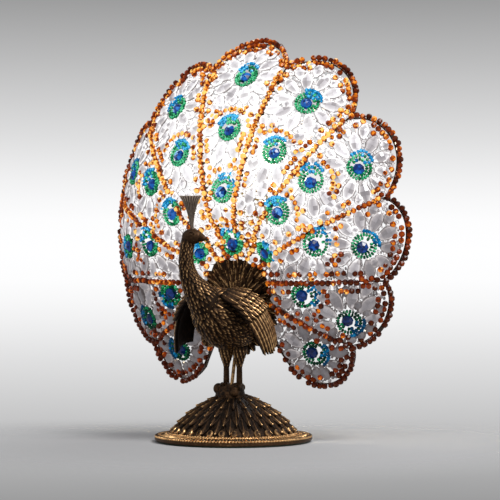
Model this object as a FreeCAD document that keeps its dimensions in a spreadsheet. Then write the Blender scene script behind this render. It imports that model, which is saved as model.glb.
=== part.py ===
"""Peacock table lamp: a cast bird on a leafed dome foot, with a fanned tail of glass beads on a brass frame.

Millimetres, +Z up. The origin is on the table under the middle of the foot, and the bird faces -Y.
The tail fan is laid out round its hub: an angle of 0 points up and grows towards +X, and a reach is the
distance from the hub in the upright plane. Seen along an angle, the fan is a quarter circle forward from
the hub plate to its crown, and then one wide arc back to the scalloped edge.
"""

import FreeCAD
import Part
import math
import os

import Sketcher
from FreeCAD import Placement, Rotation, Vector

SIZES = {
    # foot
    "felt_thick": (1.5, "felt under the foot"),
    "felt_margin": (3.0, "bare edge of the foot outside the felt"),
    "felt_hole_radius": (18.0, "hole in the middle of the felt"),
    "plate_thick": (1.2, "steel plate that closes the foot"),
    "plate_inset": (12.0, "steel plate inside the foot's outer edge"),
    "rim_radius": (81.0, "outer edge of the foot"),
    "rim_edge_height": (5.0, "top of the foot's outer edge"),
    "rim_width": (18.0, "rim outside the dome"),
    "dome_foot_height": (9.0, "where the dome rises from the rim"),
    "shoulder_inset": (14.0, "middle of the dome's curve inside its foot"),
    "shoulder_drop": (21.0, "middle of the dome's curve below its top"),
    "dome_top_radius": (17.0, "flat top of the dome"),
    "dome_top_height": (45.0, "flat top of the dome"),
    "dome_wall": (3.0, "casting wall of the foot"),
    "cord_hole_height": (16.0, "middle of the cord's way in"),
    "bushing_radius": (5.5, "outside of the cord bushing"),
    "bushing_bore_radius": (3.6, "bore of the cord bushing"),
    "bushing_length": (13.0, "length of the cord bushing"),
    "bushing_proud": (1.0, "outer end of the cord bushing outside the dome's foot"),
    # clearances
    "fit_gap": (0.15, "between parts that are assembled"),
    "seat_gap": (0.3, "between curved parts that are soldered"),
    "running_gap": (0.06, "radial play of a turning shaft"),
    # perch, legs and wiring tube
    "perch_foot_radius": (15.0, "cast mound under the feet"),
    "perch_top_radius": (12.5, "cast mound under the feet"),
    "perch_forward": (4.0, "middle of the mound in front of the middle"),
    "perch_rise": (12.0, "height of the cast mound"),
    "leg_spread": (8.0, "each leg from the middle"),
    "leg_forward": (1.0, "legs in front of the middle"),
    "ankle_radius": (3.1, "leg above the foot"),
    "shank_radius": (2.6, "leg under the thigh"),
    "thigh_radius": (8.5, "leg where it meets the belly"),
    "thigh_drop": (45.0, "where the thigh begins to swell, below the torso's middle"),
    "leg_top_drop": (27.0, "top of the thigh, below the torso's middle"),
    "toe_length": (12.0, "toe in front of its leg"),
    "toe_radius": (2.7, "toe under its leg"),
    "claw_radius": (1.2, "toe at its tip"),
    "nipple_radius": (5.0, "threaded tube that clamps the perch to the foot"),
    "nipple_bore_radius": (3.2, "bore of that tube"),
    "nipple_bite": (7.0, "how far that tube screws into the perch"),
    "nipple_drop": (9.0, "how far it hangs below the top of the dome"),
    "washer_radius": (11.0, "washer under the top of the dome"),
    "washer_thick": (1.6, "washer under the top of the dome"),
    "nut_radius": (8.5, "corner radius of the hexagon nuts"),
    "nut_thick": (3.2, "thickness of the hexagon nuts"),
    "wire_tube_radius": (1.8, "tube that takes the wires up behind the legs"),
    "wire_tube_bore_radius": (1.2, "bore of that tube"),
    "wire_tube_lean": (12.0, "degrees that the tube leans back"),
    "wire_tube_bite": (3.0, "how far the tube enters the perch and the belly"),
    # bird
    "torso_height": (126.0, "middle of the torso"),
    "torso_forward": (16.0, "middle of the torso, in front of the middle"),
    "torso_half_length": (46.0, "torso"),
    "torso_radius": (28.0, "torso at its fullest"),
    "torso_lean": (25.0, "degrees that the front of the torso is lifted"),
    "torso_wall": (3.0, "casting wall of the torso"),
    "head_rise": (84.5, "middle of the head above the torso's middle"),
    "head_forward": (68.0, "middle of the head, in front of the middle"),
    "head_aside": (5.0, "middle of the head, to the bird's right"),
    "head_half_length": (10.5, "head"),
    "head_radius": (7.8, "head at its fullest"),
    "beak_length": (13.5, "beak from inside the head to its tip"),
    "beak_radius": (4.6, "beak where it leaves the head"),
    "beak_droop": (9.0, "degrees that the beak points down"),
    "crest_rise": (34.0, "height of the crest"),
    "crest_half_width": (13.0, "crest at its top"),
    "crest_half_thick": (4.0, "crest at its top"),
    "crest_stem_radius": (1.9, "crest where it meets the head"),
    "crest_lean": (2.0, "crest leans to the bird's right by this much at the top"),
    "wing_thick": (3.0, "casting of a wing"),
    "wing_forward": (20.0, "middle of the wings, in front of the middle"),
    # tail casting, between the bird and the fan
    "tail_front": (9.0, "front face of the tail casting"),
    "tail_back": (18.0, "back face of the tail casting"),
    "tail_inset": (6.0, "edge of the tail casting, inside the hub plate's edge"),
    "tail_edge_thick": (3.0, "its edge"),
    "rump_radius": (24.5, "lower disc that closes the torso"),
    "rump_drop": (7.0, "middle of that disc, below the torso's middle"),
    "shell_radius": (9.0, "rolled shells beside the tail casting"),
    "shell_thick": (6.0, "rolled shells beside the tail casting"),
    "shell_inset": (8.0, "middle of a side shell, inside the hub plate's edge"),
    "shell_drop": (21.0, "middle of a side shell below the torso's middle"),
    "shell_arm_radius": (3.0, "arm that carries a side shell, where it leaves the disc"),
    "shell_arm_end_radius": (2.4, "the same arm, inside the shell"),
    # fan
    "hub_rise": (37.0, "middle of the fan's hub above the torso's middle"),
    "hub_plate_radius": (44.0, "brass plate that carries the ribs"),
    "hub_plate_thick": (2.5, "brass plate that carries the ribs"),
    "ring_depth": (28.0, "front face of the hub plate"),
    "rib_inset": (4.0, "where the ribs stand, inside the plate's edge"),
    "outline_rise": (64.0, "middle of the fan's round outline above the hub"),
    "tip_radius": (186.0, "outline through the tips of the lobes, at the top"),
    "outline_pinch": (18.0, "how much the outline is drawn in at its sides"),
    "outline_droop": (10.0, "how much further it reaches at the bottom"),
    "lobe_low": (11.0, "depth of the valleys in the lower outline"),
    "lobe_more": (13.0, "how much deeper they are at the top"),
    "lobe_end": (50.0, "how the outline turns in at its two ends"),
    "lobe_roundness": (0.88, "half chord over radius of a lobe's arc"),
    "edge_depth": (56.0, "scalloped edge behind the middle, at the top"),
    "edge_swing": (8.0, "how much less it is at the sides"),
    "crown_depth": (0.5, "crown of the fan behind the middle, at the sides"),
    "crown_swing": (23.0, "how much further forward it is at the top"),
    "fan_pitch": (22.8, "degrees from one gore to the next at the top"),
    "fan_growth": (0.75, "how the gores widen towards the bottom"),
    "rib_width": (1.8, "rib across its length"),
    "rib_front": (1.2, "rib in front of the fan's surface"),
    "rib_behind": (3.6, "rib behind the fan's surface"),
    "rim_thick": (1.4, "strip round each lobe"),
    "rim_front": (1.5, "strip in front of the fan's surface"),
    "rim_behind": (6.5, "strip behind the fan's surface"),
    "net_front": (3.0, "beadwork in front of the fan's surface"),
    "net_behind": (2.6, "beadwork behind the fan's surface"),
    "net_margin": (1.2, "more room between the beadwork and its rim"),
    "net_start": (12.0, "degrees round the quarter circle where beadwork begins"),
    "eye_radius": (6.8, "blue glass in the middle of each feather eye"),
    "eye_lift": (0.6, "its flat back in front of the beadwork"),
    # lamp holder
    "arm_radius": (4.4, "bent tube that carries the lamp holder"),
    "arm_bore_radius": (3.0, "bore of that tube"),
    "arm_rise": (4.5, "where it passes the hub plate, above the torso's middle"),
    "arm_bend": (6.0, "middle radius of its bend"),
    "arm_front": (2.5, "its front end, inside the torso"),
    "bulb_depth": (40.0, "upright axis of the lamp holder"),
    "holder_gap": (1.5, "bottom of the lamp holder above the hub plate's edge"),
    "holder_radius": (14.0, "brass shell of the lamp holder"),
    "holder_wall": (1.4, "brass shell of the lamp holder"),
    "holder_length": (50.0, "brass shell of the lamp holder"),
    "holder_floor": (3.0, "floor of the shell"),
    "liner_start": (17.0, "porcelain liner above the bottom of the holder"),
    "liner_floor": (5.0, "porcelain under the bulb's cap"),
    "contact_radius": (2.6, "middle contact of the holder"),
    "contact_rise": (2.0, "how far the middle contact stands up"),
    "cap_radius": (6.9, "small screw cap of the bulb"),
    "cap_length": (26.5, "small screw cap of the bulb"),
    "cap_gap": (0.35, "between the cap and the liner"),
    "globe_radius": (22.5, "round bulb"),
    "neck_radius": (9.0, "bulb where it leaves the cap"),
    "globe_rise": (24.0, "middle of the globe above its cap"),
    "key_height": (10.0, "switch key above the bottom of the holder"),
    "key_shaft_radius": (1.6, "shaft of the switch key"),
    "key_drum_radius": (4.0, "cam inside the holder"),
    "key_drum_length": (4.0, "cam inside the holder"),
    "key_reach": (7.0, "shaft outside the holder"),
    "key_grip_radius": (6.5, "flat round grip of the key"),
    "key_thick": (2.6, "flat round grip of the key"),
    "post_radius": (5.0, "bosses of the tail casting that carry the hub plate"),
    "post_inset": (24.0, "bosses inside the hub plate's edge, sideways"),
    "post_drop": (27.0, "bosses below the hub plate's top"),
    "screw_radius": (2.0, "screws through the hub plate"),
    "screw_bite": (6.0, "how far they enter the tail casting"),
    "screw_head_radius": (3.8, "their heads"),
    "screw_head_thick": (2.4, "their heads"),
}
GORES = 11
PANEL_ROWS = 11
PANEL_CROWDING = 1.3
PANEL_COLUMNS = 7
LOBE_POINTS = 9
# for each gore from the top one outwards: (share of the reach, place from -1 to 1 across the gore)
EYES = (
    ((0.85, 0.1), (0.63, 0.1), (0.38, 0.1), (0.19, 0.1)),
    ((0.83, 0.0), (0.605, 0.0)),
    ((0.85, 0.1), (0.645, -0.42), (0.436, -0.54), (0.265, 0.3)),
    ((0.82, 0.0), (0.575, -0.5)),
    ((0.83, 0.28), (0.51, -0.35)),
    ((0.76, -0.15),),
)

# places that follow from the sizes, as sums on the sheet
PLATE_RADIUS = "rim_radius - plate_inset"
DOME_FOOT_RADIUS = "rim_radius - rim_width"
SHOULDER_RADIUS = "rim_radius - rim_width - shoulder_inset"
LEG_FOOT = "dome_top_height + perch_rise"
HEAD_HEIGHT = "torso_height + head_rise"
HUB_HEIGHT = "torso_height + hub_rise"
ARM_HEIGHT = "torso_height + arm_rise"
HOLDER_HEIGHT = "torso_height + hub_rise + hub_plate_radius + holder_gap"
LINER_HEIGHT = "torso_height + hub_rise + hub_plate_radius + holder_gap + liner_start"
KEY_HEIGHT = "torso_height + hub_rise + hub_plate_radius + holder_gap + key_height"
RING_REACH = "hub_plate_radius - rib_inset"
TAIL_RADIUS = "hub_plate_radius - tail_inset"
SHELL_ASIDE = "hub_plate_radius - shell_inset"

doc = FreeCAD.newDocument("peacock_lamp")
sheet = doc.addObject("Spreadsheet::Sheet", "sizes")
for row, (alias, (value, meaning)) in enumerate(SIZES.items(), start=1):
    sheet.set(f"A{row}", meaning)
    sheet.set(f"B{row}", str(value))
    sheet.setAlias(f"B{row}", alias)
doc.recompute()
NODES = []


def mm(alias):
    """The sheet's value of one size."""
    return float(sheet.get(alias))


def bound(alias_sum):
    """A sum of aliases and numbers as an expression on the sheet."""
    words = alias_sum.replace("(", " ( ").replace(")", " ) ").split()
    return " ".join(f"sizes.{word}" if word in SIZES else word for word in words)


def value_of(alias_sum):
    """The same sum worked out as a number."""
    words = alias_sum.replace("(", " ( ").replace(")", " ) ").split()
    total, sign = 0.0, 1.0
    for word in words:
        if word in "+-":
            sign = 1.0 if word == "+" else -1.0
        else:
            total += sign * (mm(word) if word in SIZES else float(word))
    return total


def node(shape_object, name):
    """Makes an object one of the lamp's pieces, under its own name."""
    shape_object.Label = name
    NODES.append(shape_object)
    return shape_object


def bind(item, **sizes):
    """Ties properties of an object to the sheet. A double underscore stands for a dot."""
    for name, alias_sum in sizes.items():
        item.setExpression(name.replace("__", "."), bound(alias_sum))
    return item


def place(item, x="0", y="0", z="0", turn=None):
    """Ties an object's place to the sheet, and turns it."""
    if turn is not None:
        item.Placement = Placement(Vector(), turn)
    return bind(item, Placement__Base__x=x, Placement__Base__y=y, Placement__Base__z=z)


def primitive(kind, name, x="0", y="0", z="0", turn=None, **sizes):
    """A Part primitive whose sizes and place come from the sheet."""
    return place(bind(doc.addObject(f"Part::{kind}", name), **sizes), x, y, z, turn)


def fused(name, pieces):
    """One casting made of several shapes."""
    whole = doc.addObject("Part::MultiFuse", name)
    whole.Shapes = pieces
    return whole


def cut(name, base, tools):
    """A shape with others taken out of it."""
    tool = tools[0] if len(tools) == 1 else fused(name + "_tools", tools)
    rest = doc.addObject("Part::Cut", name)
    rest.Base, rest.Tool = base, tool
    return rest


def feature(name, shape, at=None):
    """A plain feature that holds a shape made with Part's own functions."""
    made = doc.addObject("Part::Feature", name)
    made.Shape = shape
    if at is not None:
        made.Placement = at
    return made


TURN_BACK = Rotation(Vector(1, 0, 0), -90)
TURN_FRONT = Rotation(Vector(1, 0, 0), 90)


def turned(name, outline, x="0", y="0", z="0", turn=None):
    """A body turned round its own Z axis from an outline of (radius, height) sums on the sheet."""
    body = doc.addObject("PartDesign::Body", name)
    sketch = body.newObject("Sketcher::SketchObject", name + "_outline")
    plane = next(item for item in body.Origin.OriginFeatures if item.Role == "XZ_Plane")
    sketch.AttachmentSupport = (plane, "")
    sketch.MapMode = "FlatFace"
    points = [Vector(value_of(radius), value_of(height), 0) for radius, height in outline]
    count = len(points)
    for index in range(count):
        sketch.addGeometry(Part.LineSegment(points[index], points[(index + 1) % count]), False)
    for index in range(count):
        sketch.addConstraint(Sketcher.Constraint("Coincident", index, 2, (index + 1) % count, 1))
    for index, (radius, height) in enumerate(outline):
        for kind, axis, words, along in (
            ("DistanceX", -2, radius, points[index].x),
            ("DistanceY", -1, height, points[index].y),
        ):
            if abs(along) < 1e-9:
                sketch.addConstraint(Sketcher.Constraint("PointOnObject", index, 1, axis))
            else:
                number = sketch.addConstraint(Sketcher.Constraint(kind, -1, 1, index, 1, along))
                sketch.setExpression(f"Constraints[{number}]", bound(words))
    revolution = body.newObject("PartDesign::Revolution", name + "_turning")
    revolution.Profile = sketch
    revolution.ReferenceAxis = (sketch, ["V_Axis"])
    revolution.Angle = 360.0
    return place(body, x, y, z, turn)


def ring(inner, outer, low, high):
    """The outline of a plain ring or washer."""
    return [(inner, low), (outer, low), (outer, high), (inner, high)]


def curved_slab(front, back):
    """A solid between two grids of points, closed by ruled sides."""
    faces, borders = [], []
    for grid in (front, back):
        if len(grid) > 2:
            surface = Part.BSplineSurface()
            surface.interpolate(grid)
            faces.append(surface.toShape())
            low_u, high_u, low_v, high_v = surface.bounds()
            borders.append([
                surface.uIso(low_u).toShape(), surface.uIso(high_u).toShape(),
                surface.vIso(low_v).toShape(), surface.vIso(high_v).toShape(),
            ])
        else:
            curves = [Part.BSplineCurve() for _ in grid]
            for curve, points in zip(curves, grid):
                curve.interpolate(points)
            edges = [curve.toShape() for curve in curves]
            faces.append(Part.makeRuledSurface(edges[0], edges[1]))
            borders.append([
                edges[0], edges[1],
                Part.makeLine(grid[0][0], grid[1][0]), Part.makeLine(grid[0][-1], grid[1][-1]),
            ])
    faces += [Part.makeRuledSurface(a, b) for a, b in zip(*borders)]
    shell = Part.makeShell(faces)
    shell.sewShape()
    solid = Part.makeSolid(shell)
    if solid.Volume < 0:
        solid.reverse()
    return solid


def mirrored(shape):
    """The same shape on the bird's other side."""
    return shape.mirror(Vector(), Vector(1, 0, 0))


# ---------------------------------------------------------------- the fan's shape


def gore_angle(number):
    """The angle of gore number 0 at the top, 1 beside it and so on; halves are the valleys."""
    side = 1 if number >= 0 else -1
    steps = abs(number)
    return side * (mm("fan_pitch") * steps + mm("fan_growth") * steps * steps)


def outline_reach(angle, valley=False):
    """How far the outline through the lobes' tips, or through their valleys, lies from the hub."""
    rise, bearing = mm("outline_rise"), math.radians(angle)
    fall = 1 - math.cos(bearing)
    radius = mm("tip_radius") + mm("outline_droop") * (fall / 2) ** 2
    radius -= mm("outline_pinch") * math.sin(bearing) ** 2 * (2 - fall) / 2
    if valley:
        radius -= mm("lobe_low") + mm("lobe_more") * math.exp(-((2 * fall) ** 2))
        radius -= mm("lobe_end") * max(0.0, fall - 1) ** 4
    return rise * math.cos(bearing) + math.sqrt(radius**2 - (rise * math.sin(bearing)) ** 2)


def lobe_fullness(across):
    """From 0 in the valleys to 1 at a lobe's tip, for a place from -1 to 1 across it."""
    full = mm("lobe_roundness")
    flat = math.sqrt(1 - full**2)
    return (math.sqrt(1 - (full * across) ** 2) - flat) / (1 - flat)


class Profile:
    """The fan's section along one angle: a quarter circle to the crown, then one wide arc."""

    def __init__(self, angle):
        self.angle = math.radians(angle)
        self.end = outline_reach(angle)
        fall = 1 - math.cos(self.angle)
        self.crown_depth = mm("crown_depth") - mm("crown_swing") * math.cos(self.angle)
        bulge = mm("edge_depth") - mm("edge_swing") * fall - self.crown_depth
        self.root_radius = mm("ring_depth") - self.crown_depth
        self.crown_reach = value_of(RING_REACH) + self.root_radius
        run = self.end - self.crown_reach
        self.wide_radius = (run**2 + bulge**2) / (2 * bulge)

    def on_root(self, degrees, outward=0.0):
        """(reach, depth) round the quarter circle, from 0 at the plate to 90 at the crown."""
        turn, radius = math.radians(degrees), self.root_radius + outward
        return (
            self.crown_reach - radius * math.cos(turn),
            mm("ring_depth") - radius * math.sin(turn),
        )

    def on_wide(self, reach, outward=0.0):
        """(reach, depth) on the wide arc, moved outward along its normal."""
        turn = math.asin((reach - self.crown_reach) / self.wide_radius)
        radius = self.wide_radius + outward
        return (
            self.crown_reach + radius * math.sin(turn),
            self.crown_depth + self.wide_radius - radius * math.cos(turn),
        )

    def at(self, share, reach_end, outward=0.0):
        """(reach, depth) at a share of the way from where the beadwork begins to reach_end."""
        first = math.radians(90 - mm("net_start")) * self.root_radius
        last = self.wide_radius * math.asin((reach_end - self.crown_reach) / self.wide_radius)
        run = share * (first + last)
        if run < first:
            return self.on_root(mm("net_start") + math.degrees(run / self.root_radius), outward)
        turn = (run - first) / self.wide_radius
        return self.on_wide(self.crown_reach + self.wide_radius * math.sin(turn), outward)


def in_fan(angle, reach, depth):
    """A point of the fan in the lamp's own frame."""
    bearing = math.radians(angle)
    return Vector(
        reach * math.sin(bearing), depth, value_of(HUB_HEIGHT) + reach * math.cos(bearing)
    )


def lobe_reach(low, high, angle):
    """How far a lobe's edge is from the hub at an angle between its valleys."""
    across = 2 * (angle - low) / (high - low) - 1
    valley = outline_reach(angle, valley=True)
    return valley + (outline_reach(angle) - valley) * lobe_fullness(across)


def inset_reach(low, high, angle, inset):
    """The reach of a line that keeps an even distance inside a lobe's edge."""
    reach, step = lobe_reach(low, high, angle), math.radians(1)
    rise = lobe_reach(low, high, angle + 0.5) - lobe_reach(low, high, angle - 0.5)
    return reach - inset * math.hypot(1, rise / (reach * step))


def fan_spot(angle, reach):
    """A point of the fan's surface and the direction straight out of its front there."""
    def spot(at_angle, at_reach):
        """A point of the surface."""
        profile = Profile(at_angle)
        if at_reach > profile.crown_reach:
            return in_fan(at_angle, *profile.on_wide(at_reach))
        height = (profile.crown_reach - at_reach) / profile.root_radius
        return in_fan(at_angle, *profile.on_root(math.degrees(math.acos(height))))
    outward = (spot(angle + 1, reach) - spot(angle - 1, reach)).cross(
        spot(angle, reach + 1) - spot(angle, reach - 1))
    outward.normalize()
    return spot(angle, reach), outward if outward.y < 0 else -outward


# ---------------------------------------------------------------- foot


def build_foot():
    """The leafed dome, the plate and felt that close it, and the cord's bushing."""
    wall, low = mm("dome_wall"), mm("felt_thick")
    hole = mm("nipple_radius") + mm("fit_gap")
    top = Vector(mm("dome_top_radius"), 0, mm("dome_top_height"))
    shoulder = Vector(value_of(SHOULDER_RADIUS), 0, top.z - mm("shoulder_drop"))
    foot = Vector(value_of(DOME_FOOT_RADIUS), 0, mm("dome_foot_height"))
    slope = Vector(wall * 0.6, 0, wall * 0.8)
    seat = low + mm("plate_thick") + mm("fit_gap")
    seat_radius = value_of(PLATE_RADIUS) + mm("fit_gap")
    inner_top = Vector(top.x, 0, top.z - wall)
    inner_foot = Vector(foot.x - wall, 0, foot.z)
    corners = [
        inner_foot, Vector(inner_foot.x, 0, seat), Vector(seat_radius, 0, seat),
        Vector(seat_radius, 0, low), Vector(mm("rim_radius") - 1, 0, low),
        Vector(mm("rim_radius"), 0, low + 1), Vector(mm("rim_radius"), 0, mm("rim_edge_height")),
        foot,
    ]
    edges = [Part.makeLine(a, b) for a, b in zip(corners, corners[1:])]
    edges.append(Part.Arc(foot, shoulder, top).toShape())
    edges.append(Part.makeLine(top, Vector(hole, 0, top.z)))
    edges.append(Part.makeLine(Vector(hole, 0, top.z), Vector(hole, 0, inner_top.z)))
    edges.append(Part.makeLine(Vector(hole, 0, inner_top.z), inner_top))
    edges.append(Part.Arc(inner_top, shoulder - slope, inner_foot).toShape())
    dome = Part.Face(Part.Wire(edges)).revolve(Vector(), Vector(0, 0, 1), 360)
    casting = feature("dome", dome)
    cord_hole = primitive(
        "Cylinder", "cord_hole", y=f"{SHOULDER_RADIUS} - 8", z="cord_hole_height",
        turn=TURN_BACK, Radius="bushing_radius + fit_gap", Height="rim_radius",
    )
    node(cut("drilled_dome", casting, [cord_hole]), "foot_dome")
    node(turned("plate", ring("felt_hole_radius", PLATE_RADIUS, "felt_thick",
                              "felt_thick + plate_thick")), "foot_plate")
    node(turned("felt", ring("felt_hole_radius", "rim_radius - felt_margin", "0",
                             "felt_thick")), "felt_pad")
    node(turned("bushing", ring("bushing_bore_radius", "bushing_radius", "0", "bushing_length"),
                y=f"{DOME_FOOT_RADIUS} + bushing_proud - bushing_length",
                z="cord_hole_height", turn=TURN_BACK),
         "cord_bushing")


# ---------------------------------------------------------------- legs


def egg(name, half_length, radius, middle, along):
    """An egg: half an ellipse turned round its long axis."""
    ellipse = Part.Ellipse(Vector(), half_length, radius)
    wire = Part.Wire([Part.ArcOfEllipse(ellipse, 0, math.pi).toShape(),
                      Part.makeLine(Vector(-half_length, 0, 0), Vector(half_length, 0, 0))])
    solid = Part.Face(wire).revolve(Vector(), Vector(1, 0, 0), 360)
    return feature(name, solid, Placement(middle, Rotation(Vector(1, 0, 0), along)))


def torso(name, grow=0.0):
    """The egg of the torso, larger by an allowance."""
    lean = math.radians(mm("torso_lean"))
    return egg(name, mm("torso_half_length") + grow, mm("torso_radius") + grow,
               Vector(0, -mm("torso_forward"), mm("torso_height")),
               Vector(0, math.cos(lean), -math.sin(lean)))


def wire_tube(name, radius, grow_ends="0"):
    """A rod along the wiring tube's leaning axis, from the perch to the belly."""
    lean = Rotation(Vector(1, 0, 0), -mm("wire_tube_lean"))
    slope = math.tan(math.radians(mm("wire_tube_lean")))
    rod = primitive(
        "Cylinder", name, y=f"0 - leg_forward - 3 - {slope:.5f} * {grow_ends}",
        z=f"{LEG_FOOT} - wire_tube_bite - {grow_ends}", turn=lean, Radius=radius,
        Height=f"torso_height - torso_radius - ({LEG_FOOT}) + wire_tube_bite + wire_tube_bite "
               f"+ {grow_ends} + {grow_ends}",
    )
    return rod


def build_legs():
    """The cast perch with the bird's legs and toes, its clamp, and the wiring tube behind them."""
    pieces = [primitive("Cone", "perch", y="0 - perch_forward", z="dome_top_height",
                        Radius1="perch_foot_radius", Radius2="perch_top_radius",
                        Height="perch_rise")]
    for side, sign in (("left", ""), ("right", "0 - ")):
        aside = f"{sign}leg_spread"
        pieces.append(primitive(
            "Cone", side + "_shank", x=aside, y="0 - leg_forward",
            z=f"{LEG_FOOT} - 1", Radius1="ankle_radius",
            Radius2="shank_radius", Height=f"torso_height - thigh_drop - ({LEG_FOOT}) + 1"))
        pieces.append(primitive(
            "Cone", side + "_thigh", x=aside, y="0 - leg_forward",
            z="torso_height - thigh_drop", Radius1="shank_radius", Radius2="thigh_radius",
            Height="thigh_drop - leg_top_drop"))
        for toe, splay in enumerate((-32, 0, 32)):
            outward = Vector(math.sin(math.radians(splay)), -math.cos(math.radians(splay)), -0.12)
            pieces.append(primitive(
                "Cone", f"{side}_toe_{toe}", x=aside, y="0 - leg_forward",
                z=LEG_FOOT, turn=Rotation(Vector(0, 0, 1), outward),
                Radius1="toe_radius", Radius2="claw_radius", Height="toe_length"))
    thread = primitive("Cylinder", "perch_thread", z="dome_top_height - 1",
                       Radius="nipple_radius + fit_gap", Height="nipple_bite + 1 + fit_gap")
    casting = cut("perch_casting", fused("perch_and_legs", pieces), [
        thread, torso("belly_room", mm("fit_gap")),
        wire_tube("wire_room", "wire_tube_radius + fit_gap", "0.5"),
        primitive("Cylinder", "wire_way", y="0 - leg_forward - 3", z="dome_top_height",
                  Radius="wire_tube_bore_radius", Height="perch_rise - 1"),
    ])
    node(casting, "legs_casting")
    node(turned("nipple", ring("nipple_bore_radius", "nipple_radius",
                               "dome_top_height - nipple_drop",
                               "dome_top_height + nipple_bite")), "clamp_nipple")
    node(turned("washer", ring("nipple_radius + fit_gap", "washer_radius",
                               "dome_top_height - dome_wall - washer_thick",
                               "dome_top_height - dome_wall")), "clamp_washer")
    nut = primitive("Prism", "clamp_hexagon",
                    z="dome_top_height - dome_wall - washer_thick - nut_thick",
                    Circumradius="nut_radius", Height="nut_thick")
    nut.Polygon = 6
    bore = primitive("Cylinder", "clamp_hexagon_bore", Radius="nipple_radius + fit_gap",
                     z="dome_top_height - dome_wall - washer_thick - nut_thick - 1",
                     Height="nut_thick + 2")
    node(cut("clamp_hexagon_nut", nut, [bore]), "clamp_nut")
    tube = cut("wire_tube_drilled", wire_tube("wire_tube_rod", "wire_tube_radius"),
               [wire_tube("wire_tube_bore", "wire_tube_bore_radius", "1")])
    node(tube, "wiring_tube")


# ---------------------------------------------------------------- bird

NECK_STATIONS = (
    # along the neck: share of the rise from shoulder to head, aside, forward, radius
    (0.00, 1.0, 43.0, 17.0),
    (0.20, 4.0, 55.0, 14.5),
    (0.42, 9.5, 64.0, 9.6),
    (0.68, 11.5, 69.0, 6.8),
    (1.00, 9.0, 69.0, 6.2),
)


def neck(grow=0.0):
    """The neck as a loft of rounds that lean with the curve of its middle line."""
    low = mm("torso_height") + 0.4 * mm("torso_radius")
    rise = value_of(HEAD_HEIGHT) - 2 - low
    middles = [Vector(-aside, -forward, low + share * rise)
               for share, aside, forward, _ in NECK_STATIONS]
    rounds = []
    for index, (middle, station) in enumerate(zip(middles, NECK_STATIONS)):
        before, after = middles[max(index - 1, 0)], middles[min(index + 1, len(middles) - 1)]
        circle = Part.makeCircle(station[3] + grow, middle, after - before)
        rounds.append(Part.Wire(circle))
    return Part.makeLoft(rounds, True)


def build_bird():
    """The hollow casting of torso, neck and head, and the crest."""
    head = egg("head", mm("head_half_length"), mm("head_radius"),
               Vector(-mm("head_aside"), -mm("head_forward"), value_of(HEAD_HEIGHT)), Vector(1, 0, 0))
    beak = primitive(
        "Cone", "beak", x="0 - head_aside + head_half_length - 4", y="0 - head_forward",
        z=f"{HEAD_HEIGHT} - 1", turn=Rotation(Vector(0, 1, 0), 90 + mm("beak_droop")),
        Radius1="beak_radius", Radius2="0.8", Height="beak_length")
    outside = fused("bird_outside", [torso("torso_outside"), feature("neck", neck()), head, beak])
    hollow = torso("torso_hollow", -mm("torso_wall"))
    behind = primitive("Box", "behind_the_tail", x="0 - torso_radius - 5",
                       y="tail_front - fit_gap", z="torso_height - torso_half_length",
                       Length="torso_radius + torso_radius + 10",
                       Width="torso_half_length", Height="torso_half_length + torso_half_length")
    casting = cut("bird_casting", outside, [
        hollow, behind, wire_tube("belly_hole", "wire_tube_radius + fit_gap", "2")])
    node(casting, "bird_body")
    stem = Vector(-mm("head_aside"), -mm("head_forward"),
                  value_of(HEAD_HEIGHT) + mm("head_radius") + mm("seat_gap"))
    sections = []
    for share, spread in ((0.0, 0.0), (0.45, 0.22), (0.85, 0.8), (1.0, 1.0)):
        wide = mm("crest_stem_radius") + spread * (mm("crest_half_width") - mm("crest_stem_radius"))
        deep = (mm("crest_stem_radius") - 0.2
                + spread * (mm("crest_half_thick") - mm("crest_stem_radius") + 0.2))
        ellipse = Part.Ellipse(Vector(), wide, deep).toShape()
        ellipse.translate(stem + Vector(-share * mm("crest_lean"), 0, share * mm("crest_rise")))
        sections.append(Part.Wire(ellipse))
    node(feature("crest_casting", Part.makeLoft(sections, True)), "crest")


# control points of the left wing's edges, from the middle of the wings
WING_FRONT_EDGE = ((15, -30, 25), (42, -24, 10), (52, -14, -14), (54, -4, -40))
WING_REAR_EDGE = ((13, -10, 33), (34, 12, 30), (50, 22, 6), (52, 21, -32))
WING_ROWS = 7
WING_COLUMNS = 5
WING_ARCH = 5.0


def bezier(points, share):
    """A point on the cubic curve of four control points."""
    a, b, c, d = (Vector(*p) for p in points)
    rest = 1 - share
    return (a * rest**3 + b * (3 * share * rest**2)
            + c * (3 * rest * share**2) + d * share**3)


def wing_grid(outward):
    """Points over the wing, moved outwards from its middle surface."""
    wing_middle = Vector(0, -mm("wing_forward"), mm("torso_height"))
    grid = []
    for row in range(WING_ROWS):
        share = row / (WING_ROWS - 1)
        front, rear = bezier(WING_FRONT_EDGE, share), bezier(WING_REAR_EDGE, share)
        line = []
        for column in range(WING_COLUMNS):
            across = column / (WING_COLUMNS - 1)
            arch = WING_ARCH * math.sin(math.pi * across) * (0.4 + 0.6 * share)
            line.append(wing_middle + front + (rear - front) * across
                        + Vector(outward + arch, 0, outward * 0.3))
        grid.append(line)
    return grid


def build_wings():
    """The two drooping wings, soldered to the shoulders."""
    half = mm("wing_thick") / 2
    left = curved_slab(wing_grid(-half), wing_grid(half))
    for side, shape in (("left", left), ("right", mirrored(left))):
        room = feature(side + "_neck_room", neck(mm("seat_gap")))
        node(cut(side + "_wing_casting", feature(side + "_wing_blank", shape),
                 [torso(side + "_torso_room", mm("seat_gap")), room]), side + "_wing")


# ---------------------------------------------------------------- tail casting and hub


def arm_room(name, low, high):
    """Where the lamp arm passes through a plate that stands upright."""
    return primitive("Cylinder", name, y=low, z=ARM_HEIGHT, turn=TURN_BACK,
                     Radius="arm_radius + fit_gap", Height=f"{high} - ({low})")


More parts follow.
